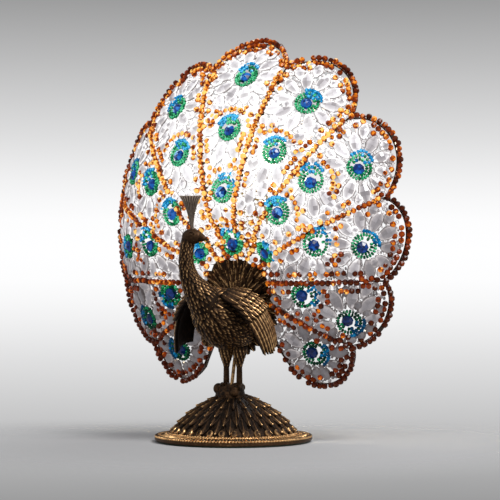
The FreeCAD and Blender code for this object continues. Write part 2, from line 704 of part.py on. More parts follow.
def build_tail_and_hub():
    """The cast rump feathers, the posts and screws behind them, and the plate of the ribs."""
    disc = turned("tail_disc", [
        ("0", "tail_front"), ("rump_radius", "tail_front"),
        (TAIL_RADIUS, "tail_back - tail_edge_thick - 2"), (TAIL_RADIUS, "tail_back - 2"),
        ("rump_radius", "tail_back"), ("0", "tail_back")], z=HUB_HEIGHT, turn=TURN_BACK)
    rump = primitive("Cylinder", "rump_disc", y="tail_front", z="torso_height - rump_drop",
                     turn=TURN_BACK, Radius="rump_radius", Height="tail_back - tail_front - 1")
    shells = []
    for sign, words in ((1, ""), (-1, "0 - ")):
        shells.append(primitive(
            "Cylinder", "side_shell", x=f"{words}({SHELL_ASIDE})", y="tail_front - 2",
            z="torso_height - shell_drop", turn=TURN_BACK, Radius="shell_radius",
            Height="shell_thick"))
        outward = Vector(sign * value_of(SHELL_ASIDE), 0, -mm("shell_drop") - mm("hub_rise"))
        shells.append(primitive(
            "Cone", "shell_arm", y="tail_front + shell_arm_radius", z=HUB_HEIGHT,
            turn=Rotation(Vector(0, 0, 1), outward), Radius1="shell_arm_radius",
            Radius2="shell_arm_end_radius", Height="hub_rise + shell_drop + shell_radius"))
    screws = []
    for sign, words in ((1, ""), (-1, "0 - ")):
        screws.append((f"{words}(hub_plate_radius - post_inset)",
                       "torso_height + hub_rise + hub_plate_radius - post_drop"))
    bosses = []
    holes = [arm_room("tail_arm_room", "tail_front - 8", "tail_back + 2")]
    for x, z in screws:
        holes.append(primitive("Cylinder", "tail_screw_hole", x=x, z=z, turn=TURN_BACK,
                               y="tail_back - screw_bite - 0.5", Radius="screw_radius + fit_gap",
                               Height="ring_depth - tail_back + screw_bite + 2"))
        bosses.append(primitive("Cylinder", "tail_boss", x=x, z=z, turn=TURN_BACK,
                                y="tail_back - 4", Radius="post_radius",
                                Height="ring_depth - tail_back + 4"))
    casting = fused("tail_feathers", [disc, rump, *shells, *bosses])
    node(cut("tail_casting_drilled", casting, holes), "tail_casting")

    plate = turned("hub_disc", [("0", "ring_depth"), ("hub_plate_radius", "ring_depth"),
                                ("hub_plate_radius", "ring_depth + hub_plate_thick"),
                                ("0", "ring_depth + hub_plate_thick")],
                   z=HUB_HEIGHT, turn=TURN_BACK)
    plate_holes = [arm_room("hub_arm_room", "ring_depth - 2", "ring_depth + hub_plate_thick + 2")]
    bolts = []
    for x, z in screws:
        plate_holes.append(primitive("Cylinder", "hub_screw_hole", x=x, z=z, turn=TURN_BACK,
                                     y="ring_depth - 1", Radius="screw_radius + fit_gap",
                                     Height="hub_plate_thick + 2"))
        bolts.append(turned("screw", [
            ("0", "tail_back - screw_bite"), ("screw_radius", "tail_back - screw_bite"),
            ("screw_radius", "ring_depth + hub_plate_thick"),
            ("screw_head_radius", "ring_depth + hub_plate_thick"),
            ("screw_head_radius", "ring_depth + hub_plate_thick + screw_head_thick"),
            ("0", "ring_depth + hub_plate_thick + screw_head_thick")], x=x, z=z, turn=TURN_BACK))
    node(cut("hub_plate_drilled", plate, plate_holes), "hub_plate")
    node(fused("screw_pair", bolts), "hub_screws")
    node(turned("spacer", ring("arm_radius + fit_gap", "arm_radius + 3", "tail_back",
                               "ring_depth"), z=ARM_HEIGHT, turn=TURN_BACK),
         "arm_spacer")


# ---------------------------------------------------------------- fan frame and beadwork


def rim_margin(low, high):
    """Degrees from a valley to the end of a lobe's strip, which stops beside the rib."""
    margin = mm("rib_width") / 2 + mm("rim_thick") / 2 + mm("fit_gap")
    return math.degrees(margin / outline_reach((low + high) / 2, valley=True))


def rib_shape(number):
    """One rib: a flat strip in its upright plane, from the hub plate to the strips it joins."""
    angle, half_count = gore_angle(number), (GORES - 1) // 2
    profile, end = Profile(angle), 0.0
    for gore in (number - 0.5, number + 0.5):
        if abs(gore) <= half_count:
            low, high = gore_angle(gore - 0.5), gore_angle(gore + 0.5)
            toward = rim_margin(low, high) * (1 if gore > number else -1)
            end = max(end, lobe_reach(low, high, angle + toward))
    front, behind = mm("rib_front"), -mm("rib_behind")

    def arcs(outward):
        """The quarter circle and the wide arc, moved outward."""
        spots = [profile.on_root(0, outward), profile.on_root(45, outward),
                 profile.on_root(90, outward)]
        middle = (profile.crown_reach + end) / 2
        spots += [profile.on_wide(middle, outward), profile.on_wide(end, outward)]
        return [Vector(reach, depth, 0) for reach, depth in spots]

    outer, inner = arcs(front), arcs(behind)
    wire = Part.Wire([
        Part.Arc(outer[0], outer[1], outer[2]).toShape(),
        Part.Arc(outer[2], outer[3], outer[4]).toShape(),
        Part.makeLine(outer[4], inner[4]),
        Part.Arc(inner[4], inner[3], inner[2]).toShape(),
        Part.Arc(inner[2], inner[1], inner[0]).toShape(),
        Part.makeLine(inner[0], outer[0]),
    ])
    half = mm("rib_width") / 2
    strip = Part.Face(wire).extrude(Vector(0, 0, 2 * half))
    strip.translate(Vector(0, 0, -half))
    strip.rotate(Vector(), Vector(0, 1, 0), angle - 90)
    strip.translate(Vector(0, 0, value_of(HUB_HEIGHT)))
    return strip


def rim_shape(low, high):
    """The strip round one lobe, from rib to rib."""
    aside, middle_line = rim_margin(low, high), []
    for index in range(LOBE_POINTS):
        share = index / (LOBE_POINTS - 1)
        even = 0.5 - 0.5 * math.cos(math.pi * share)
        across = 0.6 * even + 0.4 * share
        angle = low + aside + (high - low - 2 * aside) * across
        reach = lobe_reach(low, high, angle)
        depth = Profile(angle).on_wide(reach)[1]
        middle_line.append(in_fan(angle, reach, depth))
    half, lines = mm("rim_thick") / 2, []
    for outward in (-half, half):
        line = []
        for index, point in enumerate(middle_line):
            before = middle_line[max(index - 1, 0)]
            after = middle_line[min(index + 1, LOBE_POINTS - 1)]
            along = after - before
            normal = Vector(-along.z, 0, along.x)
            normal.normalize()
            line.append(point + normal * outward)
        lines.append(line)
    front = [[point - Vector(0, mm("rim_front"), 0) for point in line] for line in lines]
    back = [[point + Vector(0, mm("rim_behind"), 0) for point in line] for line in lines]
    return curved_slab(front, back)


def panel_grid(low, high, outward):
    """Points over one gore's beadwork, between its ribs and inside its rim."""
    inset = mm("rim_thick") / 2 + mm("seat_gap") + mm("net_front") + mm("net_margin")
    side_room = mm("rib_width") / 2 + mm("seat_gap")
    grid = []
    for row in range(PANEL_ROWS):
        share = (row / (PANEL_ROWS - 1)) ** PANEL_CROWDING
        line = []
        for column in range(PANEL_COLUMNS):
            across = column / (PANEL_COLUMNS - 1)
            angle = low + (high - low) * (0.03 + 0.94 * across)
            end = inset_reach(low, high, angle, inset)
            for _ in range(2):
                reach = Profile(angle).at(share, end)[0]
                aside = math.degrees(side_room / reach)
                angle = low + aside + (high - low - 2 * aside) * across
            reach, depth = Profile(angle).at(share, end, outward)
            line.append(in_fan(angle, reach, depth))
        grid.append(line)
    return grid


def eye_shapes(number):
    """The domed blue glasses in the middle of one gore's feather eyes."""
    side = 1 if number >= 0 else -1
    half_width = (gore_angle(number + 0.5) - gore_angle(number - 0.5)) / 2
    shapes = []
    for share, across in EYES[abs(number)]:
        angle = gore_angle(number) + side * across * half_width
        spot, outward = fan_spot(angle, share * outline_reach(angle))
        foot = spot + outward * (mm("net_front") + mm("eye_lift"))
        shapes.append(Part.makeSphere(mm("eye_radius"), foot, outward, 0, 90, 360))
    return shapes


def build_fan():
    """Twelve ribs, and for each of the eleven gores its rim, beadwork and blue glasses."""
    half_count = (GORES - 1) // 2
    for index in range(GORES + 1):
        shape = rib_shape(index - half_count - 0.5)
        node(feature(f"rib_{index + 1}", shape), f"fan_rib_{index + 1:02d}")
    glasses = []
    for index in range(GORES):
        number = index - half_count
        low, high = gore_angle(number - 0.5), gore_angle(number + 0.5)
        node(feature(f"rim_{index + 1}", rim_shape(low, high)), f"lobe_rim_{index + 1:02d}")
        panel = curved_slab(panel_grid(low, high, -mm("net_behind")),
                            panel_grid(low, high, mm("net_front")))
        node(feature(f"net_{index + 1}", panel), f"beadwork_{index + 1:02d}")
        glasses += eye_shapes(number)
    node(feature("eye_glasses_all", Part.makeCompound(glasses)), "eye_glasses")


# ---------------------------------------------------------------- lamp holder and bulb


def build_lamp_holder():
    """The bent arm with its nuts, the holder, its liner and contact, the switch key and the bulb."""
    level, bend = value_of(ARM_HEIGHT), mm("arm_bend")
    start = Vector(0, mm("arm_front"), level)
    corner = Vector(0, mm("bulb_depth"), level)
    turn_in, turn_out = corner - Vector(0, bend, 0), corner + Vector(0, 0, bend)
    inside = corner + Vector(0, -bend, bend)
    on_bend = inside + Vector(0, bend * math.sqrt(0.5), -bend * math.sqrt(0.5))
    finish = Vector(0, mm("bulb_depth"), value_of(HOLDER_HEIGHT))
    path = Part.Wire([Part.makeLine(start, turn_in), Part.Arc(turn_in, on_bend, turn_out).toShape(),
                      Part.makeLine(turn_out, finish)])
    pipes = []
    for radius in (mm("arm_radius"), mm("arm_bore_radius")):
        round_wire = Part.Wire(Part.makeCircle(radius, start, Vector(0, 1, 0)))
        pipes.append(path.makePipeShell([round_wire], True, False))
    node(feature("arm", pipes[0].cut(pipes[1])), "holder_arm")
    nuts = []
    for place_name, low in (("front", "tail_front - nut_thick - fit_gap"),
                            ("back", "ring_depth + hub_plate_thick")):
        nut = primitive("Prism", place_name + "_hexagon", y=low, z=ARM_HEIGHT,
                        turn=TURN_BACK, Circumradius="nut_radius", Height="nut_thick")
        nut.Polygon = 6
        nuts.append(cut(place_name + "_arm_nut", nut, [
            arm_room(place_name + "_nut_bore", f"{low} - 1", f"{low} + nut_thick + 1")]))
    node(fused("arm_nut_pair", nuts), "arm_nuts")

    shell = turned("holder_body", [
        ("arm_radius - 1", "0"), ("holder_radius - 2", "0"), ("holder_radius", "3"),
        ("holder_radius", "holder_length"), ("holder_radius - holder_wall", "holder_length"),
        ("holder_radius - holder_wall", "holder_floor + 1.5"),
        ("holder_radius - holder_wall - 1.5", "holder_floor"),
        ("arm_radius - 1", "holder_floor")], y="bulb_depth", z=HOLDER_HEIGHT)
    key_hole = primitive("Cylinder", "key_hole", y="bulb_depth + key_drum_length",
                         z=KEY_HEIGHT, turn=TURN_BACK,
                         Radius="key_shaft_radius + running_gap", Height="holder_radius")
    node(cut("holder_drilled", shell, [key_hole]), "holder_shell")
    node(turned("liner", [
        ("contact_radius + fit_gap", "0"),
        ("holder_radius - holder_wall - fit_gap", "0"),
        ("holder_radius - holder_wall - fit_gap", "holder_length - liner_start - 1"),
        ("cap_radius + cap_gap", "holder_length - liner_start - 1"),
        ("cap_radius + cap_gap", "liner_floor"), ("contact_radius + fit_gap", "liner_floor")],
        y="bulb_depth", z=LINER_HEIGHT), "porcelain_liner")
    node(turned("contact", [
        ("0", "0"), ("contact_radius", "0"), ("contact_radius", "liner_floor + contact_rise"),
        ("0", "liner_floor + contact_rise")], y="bulb_depth", z=LINER_HEIGHT),
        "middle_contact")
    shaft = primitive("Cylinder", "key_shaft", y="bulb_depth + holder_radius - holder_wall - "
                      "key_drum_length - 1", z=KEY_HEIGHT, turn=TURN_BACK,
                      Radius="key_shaft_radius",
                      Height="key_drum_length + 1 + holder_wall + key_reach")
    drum = primitive("Cylinder", "key_drum", y="bulb_depth + holder_radius - holder_wall - "
                     "key_drum_length - 1", z=KEY_HEIGHT, turn=TURN_BACK,
                     Radius="key_drum_radius", Height="key_drum_length")
    grip = primitive("Cylinder", "key_grip", x="0 - key_thick / 2",
                     y="bulb_depth + holder_radius + key_reach + key_grip_radius - 1",
                     z=KEY_HEIGHT, turn=Rotation(Vector(0, 1, 0), 90),
                     Radius="key_grip_radius", Height="key_thick")
    node(fused("switch_key_whole", [shaft, drum, grip]), "switch_key")
    cap_low = f"{LINER_HEIGHT} + liner_floor + contact_rise + fit_gap"
    node(turned("cap", [
        ("0", "0"), ("contact_radius", "0"), ("cap_radius", "3"), ("cap_radius", "cap_length"),
        ("0", "cap_length")], y="bulb_depth", z=cap_low), "bulb_cap")
    node(feature("bulb", bulb_glass_shape(value_of(cap_low) + mm("cap_length"))), "bulb_glass")


def bulb_glass_shape(low):
    """The round glass: a neck that swells into a globe, turned round the holder's axis."""
    radius, neck_radius = mm("globe_radius"), mm("neck_radius")
    middle = mm("globe_rise")
    waist = Vector(neck_radius, 0, 0)
    join = Vector(radius * math.cos(math.radians(-35)), 0,
                  middle + radius * math.sin(math.radians(-35)))
    top = Vector(0, 0, middle + radius)
    right = Vector(radius * math.cos(math.radians(25)), 0,
                   middle + radius * math.sin(math.radians(25)))
    wire = Part.Wire([
        Part.makeLine(Vector(), waist), Part.makeLine(waist, join),
        Part.Arc(join, right, top).toShape(), Part.makeLine(top, Vector()),
    ])
    glass = Part.Face(wire).revolve(Vector(), Vector(0, 0, 1), 360)
    glass.translate(Vector(0, mm("bulb_depth"), low))
    return glass


def write_parts():
    """Checks every object and piece, and writes each piece to its own file."""
    doc.recompute()
    for item in doc.Objects:
        if {"Invalid", "Error"} & set(item.State):
            raise RuntimeError(f"{item.Name} did not build: {item.State}")
    for item in NODES:
        shape = item.Shape
        if shape.isNull() or not shape.isValid() or not shape.Solids:
            raise RuntimeError(f"{item.Label} is not a valid solid")
    os.makedirs("parts", exist_ok=True)
    for item in NODES:
        item.Shape.exportStep(os.path.join("parts", item.Label + ".step"))
    print(len(NODES), "pieces written")


build_foot()
build_legs()
build_bird()
build_wings()
build_tail_and_hub()
build_fan()
build_lamp_holder()
write_parts()
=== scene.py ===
"""Looks of a peacock table lamp: a cast bird on a leafy foot before a fan of strung glass."""

import logging
import math
import random
from dataclasses import dataclass
from enum import Enum
from typing import Callable, Iterator, Sequence

import bpy
import numpy as np
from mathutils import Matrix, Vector


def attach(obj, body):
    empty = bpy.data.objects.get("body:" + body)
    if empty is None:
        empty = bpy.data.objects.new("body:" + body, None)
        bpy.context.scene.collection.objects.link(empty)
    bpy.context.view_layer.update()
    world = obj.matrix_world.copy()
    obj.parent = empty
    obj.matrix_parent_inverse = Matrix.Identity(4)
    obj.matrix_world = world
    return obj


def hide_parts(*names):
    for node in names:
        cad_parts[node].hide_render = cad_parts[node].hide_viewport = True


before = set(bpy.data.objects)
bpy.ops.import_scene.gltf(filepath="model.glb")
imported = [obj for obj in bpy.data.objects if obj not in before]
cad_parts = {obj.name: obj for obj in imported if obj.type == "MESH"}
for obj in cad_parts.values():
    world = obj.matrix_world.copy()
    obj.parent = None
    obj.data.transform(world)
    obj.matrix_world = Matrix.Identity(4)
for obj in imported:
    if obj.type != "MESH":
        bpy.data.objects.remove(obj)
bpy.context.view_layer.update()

MM = 0.001
LAMP = "lamp"
LOG = logging.getLogger("peacock_lamp")
Colour = tuple[float, float, float, float]
UP = np.array([0.0, 0.0, 1.0])
FRONT = np.array([0.0, -1.0, 0.0])


def link(made: bpy.types.Object) -> None:
    """Puts an object in the scene."""
    bpy.context.scene.collection.objects.link(made)


def rgb(red: float, green: float, blue: float) -> Colour:
    """An opaque colour."""
    return (red, green, blue, 1.0)


# --- shader expressions


class Wire:
    """A shader socket whose arithmetic adds Math nodes."""

    def __init__(self, shader: "Shader", socket: bpy.types.NodeSocket) -> None:
        """Keeps the socket and the shader that it belongs to."""
        self.shader = shader
        self.socket = socket

    def _math(self, operation: str, first: object, second: object) -> "Wire":
        """One Math node between two values."""
        return self.shader.node("ShaderNodeMath", {"operation": operation}, {0: first, 1: second})

    def __add__(self, other: object) -> "Wire":
        """This value plus another."""
        return self._math("ADD", self, other)

    def __radd__(self, other: object) -> "Wire":
        """Another value plus this one."""
        return self._math("ADD", other, self)

    def __sub__(self, other: object) -> "Wire":
        """This value less another."""
        return self._math("SUBTRACT", self, other)

    def __rsub__(self, other: object) -> "Wire":
        """Another value less this one."""
        return self._math("SUBTRACT", other, self)

    def __mul__(self, other: object) -> "Wire":
        """This value times another."""
        return self._math("MULTIPLY", self, other)

    def __rmul__(self, other: object) -> "Wire":
        """Another value times this one."""
        return self._math("MULTIPLY", other, self)

    def least(self, other: object) -> "Wire":
        """The smaller of two values."""
        return self._math("MINIMUM", self, other)

    def most(self, other: object) -> "Wire":
        """The larger of two values."""
        return self._math("MAXIMUM", self, other)

    def step(self, low: float, high: float) -> "Wire":
        """A smooth rise from 0 at a low value to 1 at a high one."""
        settings = {"interpolation_type": "SMOOTHSTEP"}
        return self.shader.node("ShaderNodeMapRange", settings, {0: self, 1: low, 2: high})


class Shader:
    """The node tree of one material or world, built from expressions."""

    def __init__(self, tree: bpy.types.NodeTree) -> None:
        """Empties the tree and keeps it."""
        tree.nodes.clear()
        self.tree = tree

    def node(self, kind: str, settings: dict | None = None, values: dict | None = None,
             output: int | str = 0) -> Wire:
        """Adds one node.

        Args:
            kind: the node's type name.
            settings: its properties, and "stops" for a ramp, as (place, colour) pairs.
            values: numbers, colours or wires by socket name or number.
            output: which output socket the wire holds.

        Returns:
            The chosen output.
        """
        made = self.tree.nodes.new(kind)
        for name, value in (settings or {}).items():
            if name == "stops":
                self._set_stops(made.color_ramp, value)
            else:
                setattr(made, name, value)
        for name, value in (values or {}).items():
            if isinstance(value, Wire):
                self.tree.links.new(value.socket, made.inputs[name])
            else:
                made.inputs[name].default_value = value
        return Wire(self, made.outputs[output] if made.outputs else None)

    @staticmethod
    def _set_stops(ramp: bpy.types.ColorRamp, stops: Sequence[tuple[float, Colour]]) -> None:
        """Gives a colour ramp its stops.

        Args:
            ramp: the ramp of a new node, with its first two stops.
            stops: place and colour of each stop, in order.
        """
        while len(ramp.elements) < len(stops):
            ramp.elements.new(1.0)
        for element, (place, colour) in zip(ramp.elements, stops):
            element.position = place
            element.color = colour

    def ramp(self, value: Wire, stops: Sequence[tuple[float, Colour]]) -> Wire:
        """A colour that follows a value."""
        return self.node("ShaderNodeValToRGB", {"stops": stops}, {0: value})

    def mix(self, share: object, first: object, second: object) -> Wire:
        """A colour between two others."""
        return self.node("ShaderNodeMix", {"data_type": "RGBA"}, {0: share, 6: first, 7: second}, 2)

    def scaled(self, colour: Wire | Colour, factor: object) -> Wire:
        """A colour made brighter or darker."""
        first = colour if isinstance(colour, Wire) else colour[:3]
        return self.node("ShaderNodeVectorMath", {"operation": "SCALE"}, {0: first, 3: factor})

    def place(self) -> Wire:
        """Where a point lies in the lamp's frame."""
        return self.node("ShaderNodeTexCoord", output="Object")

    def grain(self, scale: float, detail: float = 3.0, rough: float = 0.55) -> Wire:
        """Even noise from 0 to 1, with so many lumps to the metre."""
        values = {"Vector": self.place(), "Scale": scale, "Detail": detail, "Roughness": rough}
        return self.node("ShaderNodeTexNoise", None, values, "Fac")

    def attribute(self, name: str) -> Wire:
        """A number stored on the mesh."""
        return self.node("ShaderNodeAttribute", {"attribute_name": name}, output="Fac")

    def bump(self, height: Wire, strength: float, depth: float) -> Wire:
        """A normal bent by a height, where a height of 1 stands so many metres high."""
        values = {"Strength": strength, "Distance": depth, "Height": height}
        return self.node("ShaderNodeBump", None, values)

    def surface(self, values: dict) -> Wire:
        """A Principled shader joined to the material's output.

        Args:
            values: its sockets.

        Returns:
            The shader's output.
        """
        made = self.node("ShaderNodeBsdfPrincipled", None, values)
        self.node("ShaderNodeOutputMaterial", None, {"Surface": made})
        return made


# --- finishes


@dataclass(frozen=True)
class Finish:
    """A finish that paints one material."""

    name: str

    def paint(self, shader: Shader) -> None:
        """Builds the nodes."""
        raise NotImplementedError

    def material(self) -> bpy.types.Material:
        """The material, made the first time that it is asked for.

        Returns:
            The material of this finish.
        """
        made = bpy.data.materials.get(self.name)
        if made is None:
            made = bpy.data.materials.new(self.name)
            made.use_nodes = True
            self.paint(Shader(made.node_tree))
        return made


@dataclass(frozen=True)
class Patina(Finish):
    """Cast metal, dark in its hollows and rubbed bright on its high places."""

    dark: Colour = rgb(0.008, 0.004, 0.002)
    brown: Colour = rgb(0.078, 0.038, 0.0155)
    bright: Colour = rgb(0.95, 0.58, 0.26)
    rubbed_from: float = 0.60
    roughness: float = 0.35
    lump_size: float = 90.0
    modelled: bool = True

    def paint(self, shader: Shader) -> None:
        """Mixes dark, brown and rubbed metal by height and noise.

        Args:
            shader: the empty shader to fill.
        """
        lumps = shader.grain(self.lump_size, 4.0, 0.65)
        fine = shader.grain(1400.0, 3.0, 0.6)
        if self.modelled:
            height = shader.attribute("relief")
        else:
            height = shader.node("ShaderNodeNewGeometry", output="Pointiness")
            height = (height - 0.44) * 4.0
        patches = shader.grain(330.0, 3.0, 0.6)
        height = height + (lumps - 0.5) * 0.5 + (patches - 0.5) * 0.55 + (fine - 0.5) * 0.25
        worn = height.step(self.rubbed_from, self.rubbed_from + 0.42)
        body = shader.mix(height.step(0.12, 0.66), self.dark, self.brown)
        colour = shader.mix(worn, body, self.bright)
        shader.surface({
            "Base Color": colour,
            "Metallic": 0.82 + worn * 0.16,
            "Roughness": (self.roughness + 0.22) - worn * 0.25 + (fine - 0.5) * 0.2,
            "Normal": shader.bump(fine * 0.5 + lumps * 0.5, 0.55, 0.35 * MM),
        })


@dataclass(frozen=True)
class PlainMetal(Finish):
    """Drawn, plated or turned metal with fine wear."""

    colour: Colour = rgb(0.6, 0.45, 0.2)
    stain: Colour = rgb(0.3, 0.2, 0.1)
    roughness: float = 0.3
    stained: float = 0.4
    metallic: float = 1.0

    def paint(self, shader: Shader) -> None:
        """Mixes clean and stained metal by noise.

        Args:
            shader: the empty shader to fill.
        """
        clouds = shader.grain(60.0, 4.0, 0.6)
        specks = shader.grain(900.0, 2.0, 0.5)
        share = ((clouds - 0.5) * 1.6 + (specks - 0.5) * 0.6 + self.stained).step(0.0, 1.0)
        shader.surface({
            "Base Color": shader.mix(share, self.colour, self.stain),
            "Metallic": self.metallic,
            "Roughness": self.roughness + share * 0.22,
            "Normal": shader.bump(specks, 0.25, 0.12 * MM),
        })


@dataclass(frozen=True)
class Moulded(Finish):
    """Plastic or glazed ware with a faint unevenness."""

    colour: Colour = rgb(0.02, 0.02, 0.02)
    roughness: float = 0.35
    coat: float = 0.0

    def paint(self, shader: Shader) -> None:
        """Varies the colour and the gloss a little.

        Args:
            shader: the empty shader to fill.
        """
        clouds = shader.grain(120.0, 3.0, 0.5)
        skin = shader.grain(1800.0, 2.0, 0.5)
        paler = tuple(min(1.0, part * 1.25 + 0.01) for part in self.colour[:3]) + (1.0,)
        shader.surface({
            "Base Color": shader.mix(clouds.step(0.3, 0.8), self.colour, paler),
            "Roughness": self.roughness + (clouds - 0.5) * 0.12,
            "Coat Weight": self.coat,
            "Coat Roughness": 0.08,
            "Normal": shader.bump(skin, 0.2, 0.05 * MM),
        })


@dataclass(frozen=True)
class Felt(Finish):
    """Pressed felt with loose fibres."""

    colour: Colour = rgb(0.03, 0.06, 0.035)
    fibre: Colour = rgb(0.09, 0.13, 0.09)

    def paint(self, shader: Shader) -> None:
        """Mixes two tones of fibre.

        Args:
            shader: the empty shader to fill.
        """
        mat = shader.grain(700.0, 5.0, 0.7)
        shader.surface({
            "Base Color": shader.mix(mat.step(0.42, 0.7), self.colour, self.fibre),
            "Roughness": 0.95,
            "Sheen Weight": 0.4,
            "Normal": shader.bump(mat, 0.8, 0.5 * MM),
        })


@dataclass(frozen=True)
class LitBulb(Finish):
    """Opal glass with a lamp burning inside it."""

    hot: Colour = rgb(1.0, 0.96, 0.86)
    edge: Colour = rgb(1.0, 0.80, 0.50)
    base_height: float = 0.262

    def paint(self, shader: Shader) -> None:
        """Glows white, warmer towards the cap.

        Args:
            shader: the empty shader to fill.
        """
        parts = shader.node("ShaderNodeSeparateXYZ", None, {0: shader.place()}, 2)
        share = parts.step(self.base_height, self.base_height + 0.02)
        clouds = shader.grain(80.0)
        shader.surface({
            "Base Color": rgb(0.9, 0.88, 0.84),
            "Roughness": 0.18 + clouds * 0.1,
            "Emission Color": shader.mix(share, self.edge, self.hot),
            "Emission Strength": 1.6,
        })


@dataclass(frozen=True)
class StrungGlass(Finish):
    """Cut glass lit from behind. Its light is painted: it glows brightest where the mesh says that
    light comes through.
    """

    deep: Colour
    middle: Colour
    bright: Colour
    white: Colour
    # sparkle sets painted glints on the facets; core and core_share paint the middle of a bead's
    # front; outline, rim and border set painted shade round its outline and a brighter painted ring
    # inside that
    sparkle: float
    base_share: float
    core: Colour = rgb(0.0, 0.0, 0.0)
    core_share: float = 0.0
    strength: float = 1.0
    outline: float = 0.25
    rim: float = 0.45
    border: float = 0.0
    gloss: float = 0.18
    roughness: float = 0.08

    def paint(self, shader: Shader) -> None:
        """Ramps from deep to white by the light behind, with facets brighter or darker.

        Args:
            shader: the empty shader to fill.
        """
        glow = shader.attribute("glow")
        facing = shader.attribute("facing")
        spark = shader.attribute("spark")
        cloud = shader.grain(260.0, 2.0, 0.5)
        # painted glints: a random brightness for each face, with light noise over the glass
        light = glow * (1.0 - self.sparkle * 0.5 + spark * self.sparkle) + (cloud - 0.5) * 0.12
        inner = facing.step(0.80, 1.0)
        # painted shade round each bead's outline, then a brighter painted ring everywhere but the
        # middle of its front
        light = light * (self.outline + (1.0 - self.outline) * facing.step(0.0, self.rim))
        light = light * (1.0 + self.border - inner * self.border)
        lit = shader.ramp(light, [(0.0, self.deep), (0.38, self.middle),
                                  (0.72, self.bright), (1.0, self.white)])
        # painted light on the middle of a bead's front: the core colour, stronger where less light
        # comes through; painted shade in the clear crystals, a painted highlight in the amber
        inside = shader.scaled(self.core, 0.25 + light * 0.75)
        share = inner * self.core_share * (1.5 - glow).step(0.0, 0.95)
        shown = shader.mix(share, lit, inside)
        shader.surface({
            "Base Color": shader.scaled(shown, self.base_share),
            "Roughness": self.roughness,
            "Specular IOR Level": self.gloss,
            "Emission Color": shown,
            "Emission Strength": self.strength,
        })


class Glass(Enum):
    """The five kinds of glass in the shade."""

    # Each kind runs from deep to white with the painted light behind it; the core colours are
    # painted shade on a clear crystal's front and a painted highlight on an amber bead's front.
    CRYSTAL = StrungGlass(
        "crystal_glass", deep=rgb(0.045, 0.035, 0.035), middle=rgb(0.42, 0.385, 0.385),
        bright=rgb(0.93, 0.905, 0.90), white=rgb(1.0, 1.0, 1.0), core=rgb(0.47, 0.44, 0.47),
        core_share=0.9, sparkle=1.0, base_share=0.3, gloss=0.4, outline=0.08, rim=0.78, border=0.36)
    AMBER = StrungGlass(
        "amber_glass", deep=rgb(0.012, 0.002, 0.001), middle=rgb(0.24, 0.030, 0.003),
        bright=rgb(0.80, 0.22, 0.010), white=rgb(1.0, 0.62, 0.16), core=rgb(0.95, 0.36, 0.03),
        core_share=0.25, sparkle=1.5, base_share=0.2, outline=0.25, rim=0.75)
    GREEN = StrungGlass(
        "green_glass", deep=rgb(0.0005, 0.006, 0.004), middle=rgb(0.002, 0.085, 0.03),
        bright=rgb(0.008, 0.27, 0.09), white=rgb(0.10, 0.56, 0.27),
        sparkle=1.3, base_share=0.25, outline=0.25, rim=0.85)
    AQUA = StrungGlass(
        "aqua_glass", deep=rgb(0.0005, 0.012, 0.035), middle=rgb(0.002, 0.12, 0.27),
        bright=rgb(0.004, 0.23, 0.52), white=rgb(0.09, 0.50, 0.80),
        sparkle=1.2, base_share=0.25, outline=0.3, rim=0.85)
    COBALT = StrungGlass(
        "cobalt_cut_glass", deep=rgb(0.0005, 0.004, 0.02), middle=rgb(0.001, 0.035, 0.22),
        bright=rgb(0.004, 0.14, 0.52), white=rgb(0.42, 0.80, 1.0),
        sparkle=1.9, base_share=0.2, gloss=0.5, outline=0.3, rim=0.7)


CAST = Patina("cast_patina_relief")
CAST_PLAIN = Patina("cast_patina_plain", modelled=False)
CREST = Patina("crest_patina_relief", dark=rgb(0.06, 0.045, 0.036), brown=rgb(0.22, 0.17, 0.135),
               bright=rgb(0.52, 0.42, 0.33), rubbed_from=0.6, roughness=0.5)
FAN_BRASS = Patina("fan_brass_aged", dark=rgb(0.012, 0.008, 0.006), brown=rgb(0.05, 0.028, 0.014),
                   bright=rgb(0.20, 0.11, 0.045), rubbed_from=0.85, modelled=False)
HOLDER_BRASS = PlainMetal("holder_brass_satin", rgb(0.62, 0.45, 0.18), rgb(0.34, 0.22, 0.08), 0.28)
ZINC = PlainMetal("zinc_plate", rgb(0.55, 0.56, 0.57), rgb(0.33, 0.33, 0.33), 0.32)
CAP = PlainMetal("cap_thread", rgb(0.70, 0.69, 0.66), rgb(0.45, 0.44, 0.42), 0.25)
BLACK = Moulded("black_moulding", rgb(0.02, 0.02, 0.02), 0.45)
KEY = Moulded("key_moulding", rgb(0.03, 0.02, 0.015), 0.2, 0.4)
PORCELAIN = Moulded("porcelain_glaze", rgb(0.82, 0.79, 0.73), 0.12, 0.6)
GREEN_FELT = Felt("green_felt")
BULB = LitBulb("lit_opal")


# --- small shapes


def unit(vector: np.ndarray) -> np.ndarray:
    """A vector at length 1."""
    return vector / max(1e-12, float(np.linalg.norm(vector)))


def turns(count: int, shift: float = 0.0) -> Iterator[float]:
    """Angles at even steps round a circle, the first one moved by a share of a step."""
    for index in range(count):
        yield 2 * math.pi * (index + shift) / count


def jitter(dice: random.Random, amount: float) -> np.ndarray:
    """A small random shift or change of direction."""
    return np.array([dice.uniform(-amount, amount) for _ in range(3)])


def level_way(turn: float) -> np.ndarray:
    """A level direction at an angle round the lamp's axis."""
    return np.array([math.cos(turn), math.sin(turn), 0.0])


def upright(normal: np.ndarray, along: np.ndarray) -> np.ndarray:
    """Axes of a small shape that lies on a surface.

    Args:
        normal: direction out of the surface.
        along: rough direction of the shape's length.

    Returns:
        Three rows: across, along and out.
    """
    out = unit(normal)
    forward = unit(along - out * float(np.dot(along, out)))
    return np.array([np.cross(forward, out), forward, out])


@dataclass(frozen=True)
class Shape:
    """A small closed shape that is copied many times, with a relief value at each point."""

    points: np.ndarray
    faces: list[tuple[int, ...]]
    relief: np.ndarray


